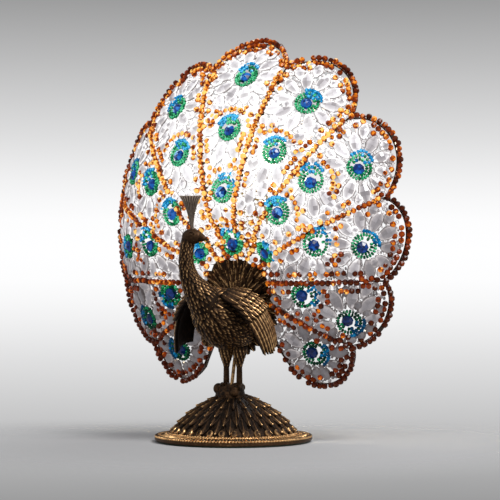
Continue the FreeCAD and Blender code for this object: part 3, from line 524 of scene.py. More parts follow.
def turned_shape(profile: Sequence[tuple[float, float]], columns: int) -> Shape:
    """A closed shape turned round Z.

    Args:
        profile: (radius, height) from the lower pole to the upper; both poles have radius 0.
        columns: how many sides it has.

    Returns:
        The shape, with relief 1 at its widest ring and 0 at its poles.
    """
    rings = profile[1:-1]
    widest = max(radius for radius, _ in rings)
    points = [(0.0, 0.0, profile[0][1])]
    relief = [0.0]
    for radius, height in rings:
        for turn in turns(columns):
            points.append((radius * math.cos(turn), radius * math.sin(turn), height))
            relief.append(radius / widest)
    points.append((0.0, 0.0, profile[-1][1]))
    relief.append(0.0)
    faces: list[tuple[int, ...]] = []
    last = len(points) - 1
    for column in range(columns):
        after = (column + 1) % columns
        faces.append((0, 1 + after, 1 + column))
        for ring in range(len(rings) - 1):
            low, high = 1 + ring * columns, 1 + (ring + 1) * columns
            faces.append((low + column, low + after, high + after, high + column))
        top = 1 + (len(rings) - 1) * columns
        faces.append((top + column, top + after, last))
    return Shape(np.array(points), faces, np.array(relief))


def ball_shape(steps: int, columns: int) -> Shape:
    """A ball of radius 1 turned round Z.

    Args:
        steps: how many bands it has from pole to pole.
        columns: how many sides it has.

    Returns:
        The ball.
    """
    rings = [(math.sin(math.pi * index / steps), -math.cos(math.pi * index / steps))
             for index in range(1, steps)]
    return turned_shape([(0.0, -1.0), *rings, (0.0, 1.0)], columns)


def tube_faces(rings: int, columns: int) -> list[tuple[int, ...]]:
    """Faces between closed rings of points, with both ends capped.

    Args:
        rings: how many rings there are.
        columns: how many points each ring has.

    Returns:
        The faces.
    """
    faces: list[tuple[int, ...]] = []
    for ring in range(rings - 1):
        for column in range(columns):
            after = (column + 1) % columns
            faces.append((ring * columns + column, ring * columns + after,
                          (ring + 1) * columns + after, (ring + 1) * columns + column))
    faces.append(tuple(reversed(range(columns))))
    faces.append(tuple((rings - 1) * columns + column for column in range(columns)))
    return faces


def shell_faces(rows: int, columns: int) -> list[tuple[int, ...]]:
    """Faces of a closed shell: a grid of points, a second grid under it and the edge between.

    Args:
        rows: cells along.
        columns: cells across.

    Returns:
        The faces, for the upper grid's points followed by the lower grid's.
    """
    line, count = columns + 1, (rows + 1) * (columns + 1)
    faces: list[tuple[int, ...]] = []
    for row in range(rows):
        for column in range(columns):
            a = row * line + column
            faces.append((a, a + 1, a + line + 1, a + line))
            faces.append((count + a, count + a + line, count + a + line + 1, count + a + 1))
    border = [(c, c + 1) for c in range(columns)]
    border += [(r * line + columns, (r + 1) * line + columns) for r in range(rows)]
    border += [(rows * line + c + 1, rows * line + c) for c in reversed(range(columns))]
    border += [((r + 1) * line, r * line) for r in reversed(range(rows))]
    return faces + [(second, first, count + first, count + second) for first, second in border]


def lens_shape(columns: int, rows: int, width: Callable[[float], float],
               height: Callable[[float, float], float], depth: float) -> Shape:
    """A leaf, feather or scale: a modelled top on a flat underside.

    Args:
        columns: cells across.
        rows: cells along.
        width: half width at a share of the length.
        height: height of the top at a share of the length and of the half width (-1 to 1).
        depth: how far the underside lies below zero.

    Returns:
        The shape, 1 long on Y, with relief from 0 at its sides to 1 on its high places.
    """
    shares = [row / rows for row in range(rows + 1)]
    aside = [2 * column / columns - 1 for column in range(columns + 1)]
    top = [(a * width(s), s, height(s, a)) for s in shares for a in aside]
    heights = [point[2] for point in top]
    low, high = min(heights), max(heights)
    relief = [(z - low) / max(1e-6, high - low) for z in heights]
    under = [(x, y, -depth) for x, y, _ in top]
    return Shape(np.array(top + under), shell_faces(rows, columns),
                 np.array(relief + [0.0] * len(top)))


class Pile:
    """Copies of small shapes gathered into one mesh."""

    def __init__(self) -> None:
        """Starts empty."""
        self.points: list[np.ndarray] = []
        self.faces: list[tuple[int, ...]] = []
        self.relief: list[np.ndarray] = []
        self.glow: list[np.ndarray] = []
        self.facing: list[np.ndarray] = []
        self.spark: list[float] = []
        self.count = 0

    def add(self, shape: Shape, origin: np.ndarray, axes: np.ndarray,
            size: Sequence[float], glow: float = 1.0, spark: random.Random | None = None,
            front: np.ndarray | None = None) -> None:
        """Adds one copy.

        Args:
            shape: the shape to copy.
            origin: where its own origin goes, in millimetres.
            axes: three rows, its X, Y and Z.
            size: scale on its X, Y and Z, in millimetres.
            glow: light behind it.
            spark: source of a random brightness for each face, painted glints on cut glass.
            front: direction out of the shade, for glass with painted shade round its outline.
        """
        self.points.append((shape.points * np.asarray(size)) @ axes + origin)
        # facing is 1 on a bead's front and 0 round its outline; the glass paints its shade and
        # light from it
        if front is not None:
            lean = (shape.points / np.asarray(size)) @ axes
            lean = lean / np.maximum(1e-9, np.linalg.norm(lean, axis=1, keepdims=True))
            self.facing.append(np.abs(lean @ front))
        start = self.count
        self.faces.extend(tuple(start + index for index in face) for face in shape.faces)
        self.relief.append(shape.relief)
        self.glow.append(np.full(len(shape.points), glow))
        if spark is not None:
            self.spark.extend(spark.random() for _ in shape.faces)
        self.count += len(shape.points)

    def add_placed(self, points: Sequence[Sequence[float]], faces: list[tuple[int, ...]],
                   relief: Sequence[float]) -> None:
        """Adds a shape that is made where it belongs.

        Args:
            points: its points in millimetres.
            faces: its faces.
            relief: its relief at each point.
        """
        self.add(Shape(np.array(points), faces, np.array(relief)), np.zeros(3), np.eye(3),
                 (1, 1, 1))

    def piece(self, name: str, finish: Finish, slot: str, smooth: bool,
              stands_for: Sequence[str] = ()) -> bpy.types.Object:
        """Makes the object, dresses it and lets it ride on the lamp.

        Args:
            name: the piece's name.
            finish: what it is made of.
            slot: name of a material slot; not used.
            smooth: whether its faces are shaded as one curved surface.
            stands_for: CAD nodes that it replaces.

        Returns:
            The new object.
        """
        mesh = bpy.data.meshes.new(name)
        mesh.from_pydata((np.concatenate(self.points) * MM).tolist(), [], self.faces)
        for label, values in (("relief", self.relief), ("glow", self.glow),
                              ("facing", self.facing or self.relief)):
            stored = mesh.attributes.new(label, "FLOAT", "POINT")
            stored.data.foreach_set("value", np.concatenate(values).astype(np.float32))
        if self.spark:
            stored = mesh.attributes.new("spark", "FLOAT", "FACE")
            stored.data.foreach_set("value", np.array(self.spark, np.float32))
        mesh.polygons.foreach_set("use_smooth", [smooth] * len(mesh.polygons))
        mesh.materials.append(finish.material())
        made = bpy.data.objects.new(name, mesh)
        link(made)
        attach(made, LAMP)
        if stands_for:
            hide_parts(*stands_for)
        LOG.info("%s: %d faces", name, len(mesh.polygons))
        return made


ROUND_BEAD = turned_shape(
    [(0.0, -0.86), (0.52, -0.82), (0.96, -0.30), (0.96, 0.30), (0.52, 0.82), (0.0, 0.86)], 7)
SEED_BEAD = turned_shape(
    [(0.0, -0.62), (0.62, -0.62), (1.0, -0.2), (1.0, 0.2), (0.62, 0.62), (0.0, 0.62)], 7)
ALMOND = turned_shape(
    [(0.0, -0.5), (0.19, -0.43), (0.36, -0.26), (0.5, -0.02), (0.47, 0.16), (0.3, 0.36),
     (0.12, 0.47), (0.0, 0.5)], 8)
JEWEL = turned_shape(
    [(0.0, -0.9), (0.5, -0.88), (0.86, -0.5), (1.0, 0.0), (0.84, 0.52), (0.42, 0.86),
     (0.0, 0.9)], 8)


def oval_width(share: float, point: float, start: float) -> float:
    """Half width of a feather or leaf.

    Args:
        share: share of its length.
        point: 1 for a round end, more for a sharper one.
        start: half width at its root.

    Returns:
        The half width, 0.5 at most.
    """
    swell = math.sin(math.pi * min(1.0, share * 0.62 + 0.30)) ** 0.8
    end = max(0.0, 1.0 - share ** (6.0 / point)) ** (0.5 * point)
    return max(0.03, 0.5 * min(1.0, start + swell) * end)


def body_scale_height(share: float, aside: float) -> float:
    """Height of a small body feather: it rises to its tip, with a shaft down its middle."""
    shaft = 0.30 * max(0.0, 1.0 - abs(aside) / 0.22) * (1.0 - 0.4 * share)
    return 0.95 * share ** 0.8 * (1.0 - 0.45 * aside * aside) + shaft


def leaf_height(share: float, aside: float) -> float:
    """Height of a cast leaf: a raised rib, hollow blades and a thick turned edge."""
    rib = 0.55 * max(0.0, 1.0 - abs(aside) / 0.2)
    veins = 0.10 * math.cos(26.0 * (share - 0.35 * abs(aside)))
    edge = 0.30 * max(0.0, (abs(aside) - 0.55) / 0.45)
    return 0.35 + 0.75 * share ** 1.5 + rib + veins + edge * (1.0 - share) - 0.25 * aside * aside


def tail_feather_height(share: float, aside: float) -> float:
    """Height of a cast tail feather, with slanted barbs on both sides of its shaft."""
    shaft = 0.5 * max(0.0, 1.0 - abs(aside) / 0.16)
    barbs = 0.16 * math.cos(30.0 * (share - 0.4 * abs(aside)))
    return 0.3 + 0.7 * share + shaft + barbs - 0.35 * aside * aside


BODY_SCALE = lens_shape(4, 5, lambda s: oval_width(s, 1.1, 0.25), body_scale_height, 0.8)
FOOT_LEAF = lens_shape(10, 14, lambda s: oval_width(s, 2.0, 0.1), leaf_height, 0.8)
TAIL_FEATHER = lens_shape(8, 14, lambda s: oval_width(s, 1.3, 0.15), tail_feather_height, 0.8)


# --- the fan's surface


@dataclass(frozen=True)
class FanSurface:
    """The curved fan: a plate's rim, a quarter circle forward, then one wide arc to the lobes."""

    hub_height: float = 163.0
    ring_reach: float = 40.0
    ring_depth: float = 28.0
    crown_depth: float = 0.5
    crown_swing: float = 23.0
    edge_depth: float = 56.0
    edge_swing: float = 8.0
    tip_radius: float = 186.0
    centre_rise: float = 64.0
    valley_drop: float = 11.0
    valley_more: float = 13.0
    lobe_curve: float = 0.88
    gore_step: float = 22.8
    gore_growth: float = 0.75
    apron_reach: float = 50.0
    apron_slope: float = 0.12
    least_reach: float = 24.0

    def inner_reach(self, degrees: float) -> float:
        """Where the beads begin: nearer the hub at the top than at the sides."""
        return self.least_reach + 14.0 * min(1.0, abs(degrees) / 75.0) ** 1.4

    def gore_angle(self, number: float) -> float:
        """Degrees from straight up to a gore's middle, or to a rib at a half number."""
        size = abs(number)
        return math.copysign(self.gore_step * size + self.gore_growth * size * size, number)

    def sides(self, gore: int) -> tuple[float, float]:
        """Angles of the ribs on both sides of a gore."""
        return self.gore_angle(gore - 0.5), self.gore_angle(gore + 0.5)

    def outline(self, degrees: float, valley: bool) -> float:
        """Reach of the outline through the lobes' tips or their valleys.

        Args:
            degrees: direction from straight up.
            valley: whether the valleys are asked for.

        Returns:
            Millimetres from the hub.
        """
        angle = math.radians(degrees)
        fall = 1.0 - math.cos(angle)
        radius = self.tip_radius + 10.0 * (fall / 2) ** 2
        radius -= 18.0 * math.sin(angle) ** 2 * (2.0 - fall) / 2
        if valley:
            radius -= self.valley_drop + self.valley_more * math.exp(-((2.0 * fall) ** 2))
            radius -= 50.0 * max(0.0, fall - 1.0) ** 4
        aside = self.centre_rise * math.sin(angle)
        return self.centre_rise * math.cos(angle) + math.sqrt(radius * radius - aside * aside)

    def lobe(self, low: float, high: float, degrees: float) -> float:
        """Reach of one lobe's scalloped edge.

        Args:
            low: angle of the rib at one side.
            high: angle of the rib at the other.
            degrees: direction from straight up.

        Returns:
            Millimetres from the hub.
        """
        across = min(1.0, max(-1.0, 2.0 * (degrees - low) / (high - low) - 1.0))
        least = math.sqrt(1.0 - self.lobe_curve ** 2)
        full = (math.sqrt(1.0 - (self.lobe_curve * across) ** 2) - least) / (1.0 - least)
        valley, tip = self.outline(degrees, True), self.outline(degrees, False)
        return valley + (tip - valley) * full

    def depth(self, degrees: float, reach: float) -> float:
        """How far back the surface lies.

        Args:
            degrees: direction from straight up.
            reach: distance from the hub.

        Returns:
            The Y of that place.
        """
        if reach < self.apron_reach:
            root = self.depth(degrees, self.apron_reach)
            return root + (self.apron_reach - reach) * self.apron_slope
        angle = math.radians(degrees)
        fall = 1.0 - math.cos(angle)
        crown = self.crown_depth - self.crown_swing * math.cos(angle)
        root = self.ring_depth - crown
        crown_reach = self.ring_reach + root
        if reach <= crown_reach:
            turn = math.acos(min(1.0, max(-1.0, (crown_reach - reach) / root)))
            return self.ring_depth - root * math.sin(turn)
        run = self.outline(degrees, False) - crown_reach
        bulge = self.edge_depth - self.edge_swing * fall - crown
        wide = (run * run + bulge * bulge) / (2.0 * bulge)
        return crown + wide - math.sqrt(max(0.0, wide * wide - (reach - crown_reach) ** 2))

    def point(self, degrees: float, reach: float) -> np.ndarray:
        """A place on the surface, in the lamp's frame."""
        angle = math.radians(degrees)
        return np.array([reach * math.sin(angle), self.depth(degrees, reach),
                         self.hub_height + reach * math.cos(angle)])

    def normal(self, degrees: float, reach: float) -> np.ndarray:
        """Direction out of the front of the surface.

        Args:
            degrees: direction from straight up.
            reach: distance from the hub.

        Returns:
            A unit vector whose Y is negative.
        """
        out = self.point(degrees, reach + 0.5) - self.point(degrees, reach - 0.5)
        aside = self.point(degrees + 0.4, reach) - self.point(degrees - 0.4, reach)
        normal = unit(np.cross(out, aside))
        return normal if normal[1] < 0 else -normal

    def locate(self, place: np.ndarray) -> tuple[float, float]:
        """Direction and reach of a place seen along Y."""
        x, z = place[0], place[2] - self.hub_height
        return math.degrees(math.atan2(x, z)), math.hypot(x, z)

    def settle(self, place: np.ndarray, proud: float = 0.0) -> tuple[np.ndarray, np.ndarray]:
        """Brings a place near the surface onto it.

        Args:
            place: the place.
            proud: how far in front of the surface it ends up.

        Returns:
            The settled place and the surface's normal there.
        """
        degrees, reach = self.locate(place)
        reach = max(self.inner_reach(degrees), reach)
        normal = self.normal(degrees, reach)
        return self.point(degrees, reach) + normal * proud, normal


class Crowd:
    """Remembers where beads already are, so that the next one finds its own room."""

    def __init__(self, cell: float = 8.0) -> None:
        """Starts empty, with cells of one size."""
        self.cell = cell
        self.taken: dict[tuple[int, int, int], list[tuple[np.ndarray, float]]] = {}

    def _key(self, place: np.ndarray) -> tuple[int, int, int]:
        """The cell that holds a place."""
        return tuple(int(math.floor(value / self.cell)) for value in place)

    def take(self, place: np.ndarray, radius: float) -> None:
        """Marks a place as taken."""
        self.taken.setdefault(self._key(place), []).append((place, radius))

    def free(self, place: np.ndarray, radius: float) -> bool:
        """Tells whether a ball fits.

        Args:
            place: its middle.
            radius: its radius.

        Returns:
            True when it touches nothing.
        """
        x, y, z = self._key(place)
        for dx in (-1, 0, 1):
            for dy in (-1, 0, 1):
                for dz in (-1, 0, 1):
                    for other, size in self.taken.get((x + dx, y + dy, z + dz), ()):
                        if float(np.sum((other - place) ** 2)) < (radius + size) ** 2:
                            return False
        return True


# --- the shade's beads


EYES: dict[int, tuple[tuple[float, float], ...]] = {
    0: ((0.85, 0.1), (0.63, 0.1), (0.38, 0.1), (0.165, 0.1)),
    1: ((0.83, 0.0), (0.605, 0.0)),
    2: ((0.85, 0.1), (0.645, -0.42), (0.436, -0.54), (0.250, 0.3)),
    3: ((0.82, 0.0), (0.575, -0.5)),
    4: ((0.83, 0.28), (0.51, -0.35)),
    5: ((0.76, -0.15),),
}


@dataclass
class BeadShade:
    """Strings of glass on the ribs: eyes, petals, clear filling and amber edges."""

    surface: FanSurface
    bulb: tuple[float, float, float] = (0.0, 40.0, 283.0)
    amber_radius: float = 3.3
    clear_radius: float = 2.25
    seed_radius: float = 2.05
    aqua_radius: float = 2.2
    jewel_radius: float = 6.8
    petal_width: float = 13.5
    petal_thick: float = 6.0
    petal_length: float = 22.0
    rings: tuple[tuple[float, int, tuple[float, ...]], ...] = (
        (13.5, 10, (23.0, 20.0, 17.0)), (14.0, 13, (20.0, 16.0, 13.0)),
        (28.0, 13, (22.0, 18.0, 14.0)), (42.0, 16, (20.0, 16.0, 12.0)),
        (14.0, 22, (11.0, 9.0)), (26.0, 26, (12.0, 9.0)), (40.0, 30, (12.0, 9.0)),
        (56.0, 34, (16.0, 12.0, 9.0)))
    ring_radius: float = 11.4
    rib_gap: float = 3.6
    # rim_table rows along each lobe's edge: inset, height in front, step, share left out and
    # painted shade
    rim_table: tuple[tuple[float, float, float, float, float], ...] = (
        (-0.6, 3.9, 5.6, 0.02, 0.28), (4.0, 2.2, 5.6, 0.03, 0.06), (9.2, 2.8, 6.0, 0.38, 0.0))
    arch_rows: tuple[tuple[float, float], ...] = ((23.0, 0.95), (28.4, 0.62))
    seed: int = 20

    def light(self, place: np.ndarray, spread: float) -> float:
        """Light that comes through at a place.

        Args:
            place: the bead's middle.
            spread: random difference from its neighbours.

        Returns:
            About 1 beside the bulb and 0.2 at the lowest edge.
        """
        away = float(np.linalg.norm(place - np.array(self.bulb)))
        near = 1.12 - 0.0054 * max(0.0, away - 50.0)
        low = min(1.0, max(0.0, (place[2] - 95.0) / 130.0))
        return max(0.05, near * (0.36 + 0.64 * low * low * (3 - 2 * low)) + spread)

    def bead(self, pile: Pile, shape: Shape, place: np.ndarray, radius: float,
             axis: np.ndarray, spread: float, shade: float = 0.0) -> None:
        """Adds one bead, and marks its place as taken for the beads of its own layer.

        Args:
            pile: where it goes.
            shape: its cut.
            place: its middle.
            radius: its radius.
            axis: direction of its string.
            spread: how much its light may differ.
            shade: painted shade, how much less light comes through it than through its neighbours.
        """
        along = unit(axis)
        other = unit(np.cross(along, unit(jitter(self.dice, 1))))
        axes = np.array([other, np.cross(along, other), along])
        size = radius * self.dice.uniform(0.93, 1.06)
        if shape is ROUND_BEAD:
            self.strings.take(place, radius * 0.92)
        else:
            self.crowd.take(place, radius * 0.92)
        glow = self.light(place, self.dice.uniform(-spread, spread) - shade)
        front = self.surface.normal(*self.surface.locate(place))
        pile.add(shape, place, axes, (size, size, size), glow, self.dice, front)

    def flat_frame(self, place: np.ndarray, normal: np.ndarray) -> tuple[np.ndarray, np.ndarray]:
        """Directions along the surface.

        Args:
            place: a place on the surface.
            normal: its normal.

        Returns:
            The direction away from the hub, and the one across it.
        """
        away = place - np.array([0.0, place[1], self.surface.hub_height])
        out = unit(away - normal * float(np.dot(away, normal)))
        return out, np.cross(out, normal)

    def eye_spots(self, gore: int) -> Iterator[tuple[np.ndarray, np.ndarray]]:
        """Middles of the eyes in one gore.

        Args:
            gore: its number, -5 to 5.

        Yields:
            Place on the surface and normal of each, from the rim inward.
        """
        surface, side = self.surface, (-1 if gore < 0 else 1)
        middle = surface.gore_angle(gore)
        half = (surface.gore_angle(gore + 0.5) - surface.gore_angle(gore - 0.5)) / 2
        for share, across in EYES[abs(gore)]:
            degrees = middle + side * across * half
            reach = share * surface.outline(degrees, False)
            yield surface.point(degrees, reach), surface.normal(degrees, reach)

    def build(self) -> None:
        """Builds the beads of all gores, and the cut stones of the eyes."""
        self.dice = random.Random(self.seed)
        self.crowd, self.strings = Crowd(), Crowd()
        self.jewels = Pile()
        layers = [{kind: Pile() for kind in ("amber", "green", "aqua", "clear")} for _ in range(11)]
        gores = list(range(-5, 6))
        for gore, layer in zip(gores, layers):
            for place, normal in self.eye_spots(gore):
                self.eye(layer, place, normal)
        for ring in self.rings:
            for gore, layer in zip(gores, layers):
                for place, normal in self.eye_spots(gore):
                    self.petal_ring(layer["clear"], gore, place, normal, *ring)
        for gore, layer in zip(gores, layers):
            self.rim_rows(layer["amber"], gore)
            self.rib_rows(layer["amber"], gore)
            self.arches(layer["amber"], gore)
        for gore, layer in zip(gores, layers):
            self.filling(layer["clear"], gore)
        for number, layer in enumerate(layers, 1):
            self.dress(number, layer)
        self.jewels.piece("eye_stones", Glass.COBALT.value, "cobalt_glass", False, ["eye_glasses"])

    def dress(self, number: int, layer: dict[str, Pile]) -> None:
        """Makes the pieces of one gore.

        Args:
            number: the gore, 1 to 11.
            layer: its piles.
        """
        tag = f"{number:02d}"
        layer["clear"].piece(f"crystals_{tag}", Glass.CRYSTAL.value, "crystal_beads", False,
                             [f"beadwork_{tag}"])
        layer["amber"].piece(f"amber_{tag}", Glass.AMBER.value, "amber_beads", False)
        layer["green"].piece(f"green_{tag}", Glass.GREEN.value, "green_beads", False)
        layer["aqua"].piece(f"aqua_{tag}", Glass.AQUA.value, "aqua_beads", False)

    def eye(self, layer: dict[str, Pile], place: np.ndarray, normal: np.ndarray) -> None:
        """Adds one eye: a blue stone, green rings and a crescent of light blue beads.

        Args:
            layer: the gore's piles.
            place: its middle.
            normal: direction out of the surface there.
        """
        out, across = self.flat_frame(place, normal)
        lean = self.dice.uniform(-0.9, 0.9)
        away = out * math.cos(lean) + across * math.sin(lean)
        aside = np.cross(away, normal)
        stone = place - away * self.dice.uniform(1.0, 2.6) + normal * 1.2
        size = self.jewel_radius * self.dice.uniform(0.92, 1.0)
        glow = self.light(stone, self.dice.uniform(-0.1, 0.02)) * 0.52
        self.jewels.add(JEWEL, stone, upright(normal, away), (size, size, size * 0.8), glow,
                        self.dice, normal)
        self.crowd.take(place, size)
        self.strings.take(place, self.ring_radius + 1.0)
        point = self.dice.choice((0.0, 0.0, 0.2, 0.3))
        for row, (wider, proud) in enumerate(((0.0, 1.6), (-3.6, 1.1), (3.6, 1.9))):
            radius = self.ring_radius + wider
            count = int(2 * math.pi * radius / (1.42 * self.seed_radius))
            for turn in turns(count, 0.5 * row):
                facing = math.cos(turn)
                if (row == 1 and self.dice.random() < 0.2) or (row == 2 and facing < 0.62):
                    continue
                stretch = 1.0 + point * max(0.0, facing) ** 6
                spot = place + (away * facing * stretch + aside * math.sin(turn)) * radius
                spot, _ = self.surface.settle(spot, proud)
                along = aside * facing - away * math.sin(turn)
                if facing > 0.62 and (row == 2 or self.dice.random() < 0.5):
                    self.bead(layer["aqua"], ROUND_BEAD, spot, self.aqua_radius, along, 0.26)
                else:
                    self.bead(layer["green"], SEED_BEAD, spot, self.seed_radius, along, 0.32)

    def edge_places(self, gore: int, inset: float, step: float) -> Iterator[tuple[float, float]]:
        """Places along a lobe's edge at even steps.

        Args:
            gore: its number.
            inset: how far inside the edge.
            step: distance between them.

        Yields:
            Direction and reach of each.
        """
        surface = self.surface
        low, high = surface.sides(gore)
        turns = np.linspace(low, high, 161)
        line = []
        for degrees in turns:
            reach = surface.lobe(low, high, degrees)
            ahead = surface.lobe(low, high, degrees + 0.25) - surface.lobe(
                low, high, degrees - 0.25)
            slant = ahead / (reach * math.radians(0.5))
            line.append(surface.point(degrees, reach - inset * min(2.2, math.hypot(1.0, slant))))
        line = np.array(line)
        run = np.concatenate([[0.0], np.cumsum(np.linalg.norm(np.diff(line, axis=0), axis=1))])
        count = max(2, int(run[-1] / step))
        for at in np.linspace(step * 0.4, run[-1] - step * 0.4, count):
            spot = np.array([np.interp(at, run, line[:, axis]) for axis in range(3)])
            yield surface.locate(spot)

    def rim_rows(self, pile: Pile, gore: int) -> None:
        """Adds the amber rows along a lobe's edge.

        Args:
            pile: where they go.
            gore: its number.
        """
        surface = self.surface
        for inset, proud, step, gaps, shade in self.rim_table:
            for degrees, reach in self.edge_places(gore, inset, step):
                if self.dice.random() < gaps:
                    continue
                normal = surface.normal(degrees, reach)
                lift = proud + self.dice.uniform(-0.5, 0.5)
                spot = surface.point(degrees, reach) + normal * lift
                spot = spot + jitter(self.dice, 0.5)
                if inset > 0 and not self.strings.free(spot, self.amber_radius * 0.8):
                    continue
                along = surface.point(degrees + 0.5, reach) - surface.point(degrees - 0.5, reach)
                self.bead(pile, ROUND_BEAD, spot, self.amber_radius, along, 0.34, shade)

    def rib_rows(self, pile: Pile, gore: int) -> None:
        """Adds the amber rows on both sides of a gore, beside its ribs.

        Args:
            pile: where they go.
            gore: its number.
        """
        surface = self.surface
        for side in (-1, 1):
            rib = surface.gore_angle(gore + side * 0.5)
            end = surface.outline(rib, True) - 4.0
            reach = surface.inner_reach(rib) + 3.0
            while reach < end:
                place = surface.point(rib, reach)
                ahead = surface.point(rib, reach + 1.0)
                slope = float(np.linalg.norm(ahead - place))
                for gap, chance, proud in self.rib_spots(side):
                    shift = gap + self.dice.uniform(-0.5, 0.5)
                    degrees = rib - side * math.degrees(shift / reach)
                    if self.dice.random() > chance:
                        continue
                    normal = surface.normal(degrees, reach)
                    lift = proud + self.dice.uniform(-0.5, 0.6)
                    spot = surface.point(degrees, reach) + normal * lift
                    if self.strings.free(spot, self.amber_radius * 0.56):
                        self.bead(pile, ROUND_BEAD, spot, self.amber_radius, ahead - place, 0.36,
                                  0.04)
                reach += 5.4 * self.dice.uniform(0.97, 1.08) / slope

    def rib_spots(self, side: int) -> tuple[tuple[float, float, float], ...]:
        """Rows beside a rib: distance, share of beads that are there, and height in front."""
        beside = ((self.rib_gap, 0.86, 2.6), (self.rib_gap + 5.0, 0.48, 3.0))
        return ((0.0, 1.0, 3.9), *beside) if side > 0 else beside

    def arches(self, pile: Pile, gore: int) -> None:
        """Adds amber arches over the inner eyes, joined to the ribs.

        Args:
            pile: where they go.
            gore: its number.
        """
        spots = list(self.eye_spots(gore))
        for place, normal in spots[1:]:
            out, across = self.flat_frame(place, normal)
            for radius, chance in self.arch_rows:
                count = int(2.9 * radius / 6.0)
                for index in range(count + 1):
                    if self.dice.random() > chance:
                        continue
                    turn = -1.45 + 2.9 * index / count
                    spot = place + (out * math.cos(turn) * 0.92 + across * math.sin(turn)) * radius
                    spot, _ = self.surface.settle(spot, self.dice.uniform(2.2, 3.4))
                    if self.inside(spot, gore, 3.5, 6.0) and self.strings.free(
                            spot, self.amber_radius * 0.8):
                        along = across * math.cos(turn) - out * math.sin(turn)
                        self.bead(pile, ROUND_BEAD, spot, self.amber_radius, along, 0.34)

    def inside(self, place: np.ndarray, gore: int, beside: float, below: float) -> bool:
        """Tells whether a place lies within a gore.

        Args:
            place: the place.
            gore: its number.
            beside: least distance from the ribs.
            below: least distance from the edge.

        Returns:
            True when it lies within.
        """
        surface = self.surface
        degrees, reach = surface.locate(place)
        low, high = surface.sides(gore)
        margin = math.degrees(beside / max(10.0, reach))
        if not low + margin <= degrees <= high - margin:
            return False
        return surface.inner_reach(degrees) <= reach <= surface.lobe(low, high, degrees) - below

    def petal_ring(self, pile: Pile, gore: int, place: np.ndarray, normal: np.ndarray,
                   start: float, petals: int, lengths: tuple[float, ...]) -> None:
        """Adds one ring of petals round an eye, each as long as its room allows.

        Args:
            pile: where they go.
            gore: its number.
            place: the eye's middle.
            normal: direction out of the surface there.
            start: distance from the eye's middle to their roots.
            petals: how many would fill the ring.
            lengths: lengths to try, from the longest.
        """
        out, across = self.flat_frame(place, normal)
        first = self.dice.uniform(0.0, 1.0)
        for turn in turns(petals, first):
            away = out * math.cos(turn) + across * math.sin(turn)
            for length in lengths:
                if self.petal(pile, gore, place, away, start, length):
                    break

    def petal(self, pile: Pile, gore: int, centre: np.ndarray, away: np.ndarray,
              start: float, length: float) -> bool:
        """Adds one cut petal if there is room for it.

        Args:
            pile: where it goes.
            gore: its number.
            centre: the eye's middle.
            away: direction from the eye.
            start: distance from the eye's middle to its root.
            length: its length.

        Returns:
            True when it was added.
        """
        width = self.petal_width * (0.55 + 0.45 * length / self.petal_length)
        start = start + self.dice.uniform(0.0, 1.6)
        checks = []
        for share, girth in ((0.12, 0.14), (0.45, 0.33), (0.75, 0.22), (0.97, 0.06)):
            spot, _ = self.surface.settle(centre + away * (start + length * share), 1.2)
            checks.append((spot, width * girth))
        if not all(self.inside(spot, gore, 0.8 + size * 0.7, 2.2) and self.crowd.free(spot, size)
                   for spot, size in checks):
            return False
        middle, face = self.surface.settle(centre + away * (start + length * 0.5), 1.8)
        root, _ = self.surface.settle(centre + away * start, 1.0)
        axes = upright(face, unit(middle - root))[[0, 2, 1]]
        glow = self.light(middle, self.dice.uniform(-0.24, 0.08))
        pile.add(ALMOND, middle, axes, (width, self.petal_thick, length * 1.06), glow, self.dice,
                 face)
        for spot, size in checks:
            self.crowd.take(spot, size)
        return True

    def filling(self, pile: Pile, gore: int) -> None:
        """Fills what is left of a gore with small clear beads.

        Args:
            pile: where they go.
            gore: its number.
        """
        surface = self.surface
        low, high = surface.sides(gore)
        reach = surface.inner_reach((low + high) / 2) + 1.0
        row = 0
        while reach < surface.outline((low + high) / 2, False):
            step = math.degrees(3.2 / reach)
            degrees = low + (row % 2) * step / 2
            slope = float(np.linalg.norm(
                surface.point(degrees, reach + 1.0) - surface.point(degrees, reach)))
            while degrees < high:
                spot = surface.point(degrees, reach) + surface.normal(degrees, reach) * 0.4
                spot = spot + jitter(self.dice, 0.4)
                for size in (self.clear_radius, 1.9, 1.45):
                    if self.inside(spot, gore, 1.6, 2.6) and self.crowd.free(
                            spot, size * 0.6) and self.strings.free(spot, size * 0.5):
                        away = surface.point(degrees, reach + 1.0) - surface.point(degrees, reach)
                        self.bead(pile, SEED_BEAD, spot, size, away, 0.25, 0.12)
                        break
                degrees += step
            reach += 2.6 / slope
            row += 1


# --- the bird


def bezier(points: Sequence[Sequence[float]], share: float) -> np.ndarray:
    """A place on a cubic Bezier curve.

    Args:
        points: its four control points.
        share: 0 to 1 along it.

    Returns:
        The place.
    """
    a, b, c, d = (np.array(point, float) for point in points)
    rest = 1.0 - share
    return (a * rest ** 3 + b * 3 * rest * rest * share + c * 3 * rest * share * share
            + d * share ** 3)


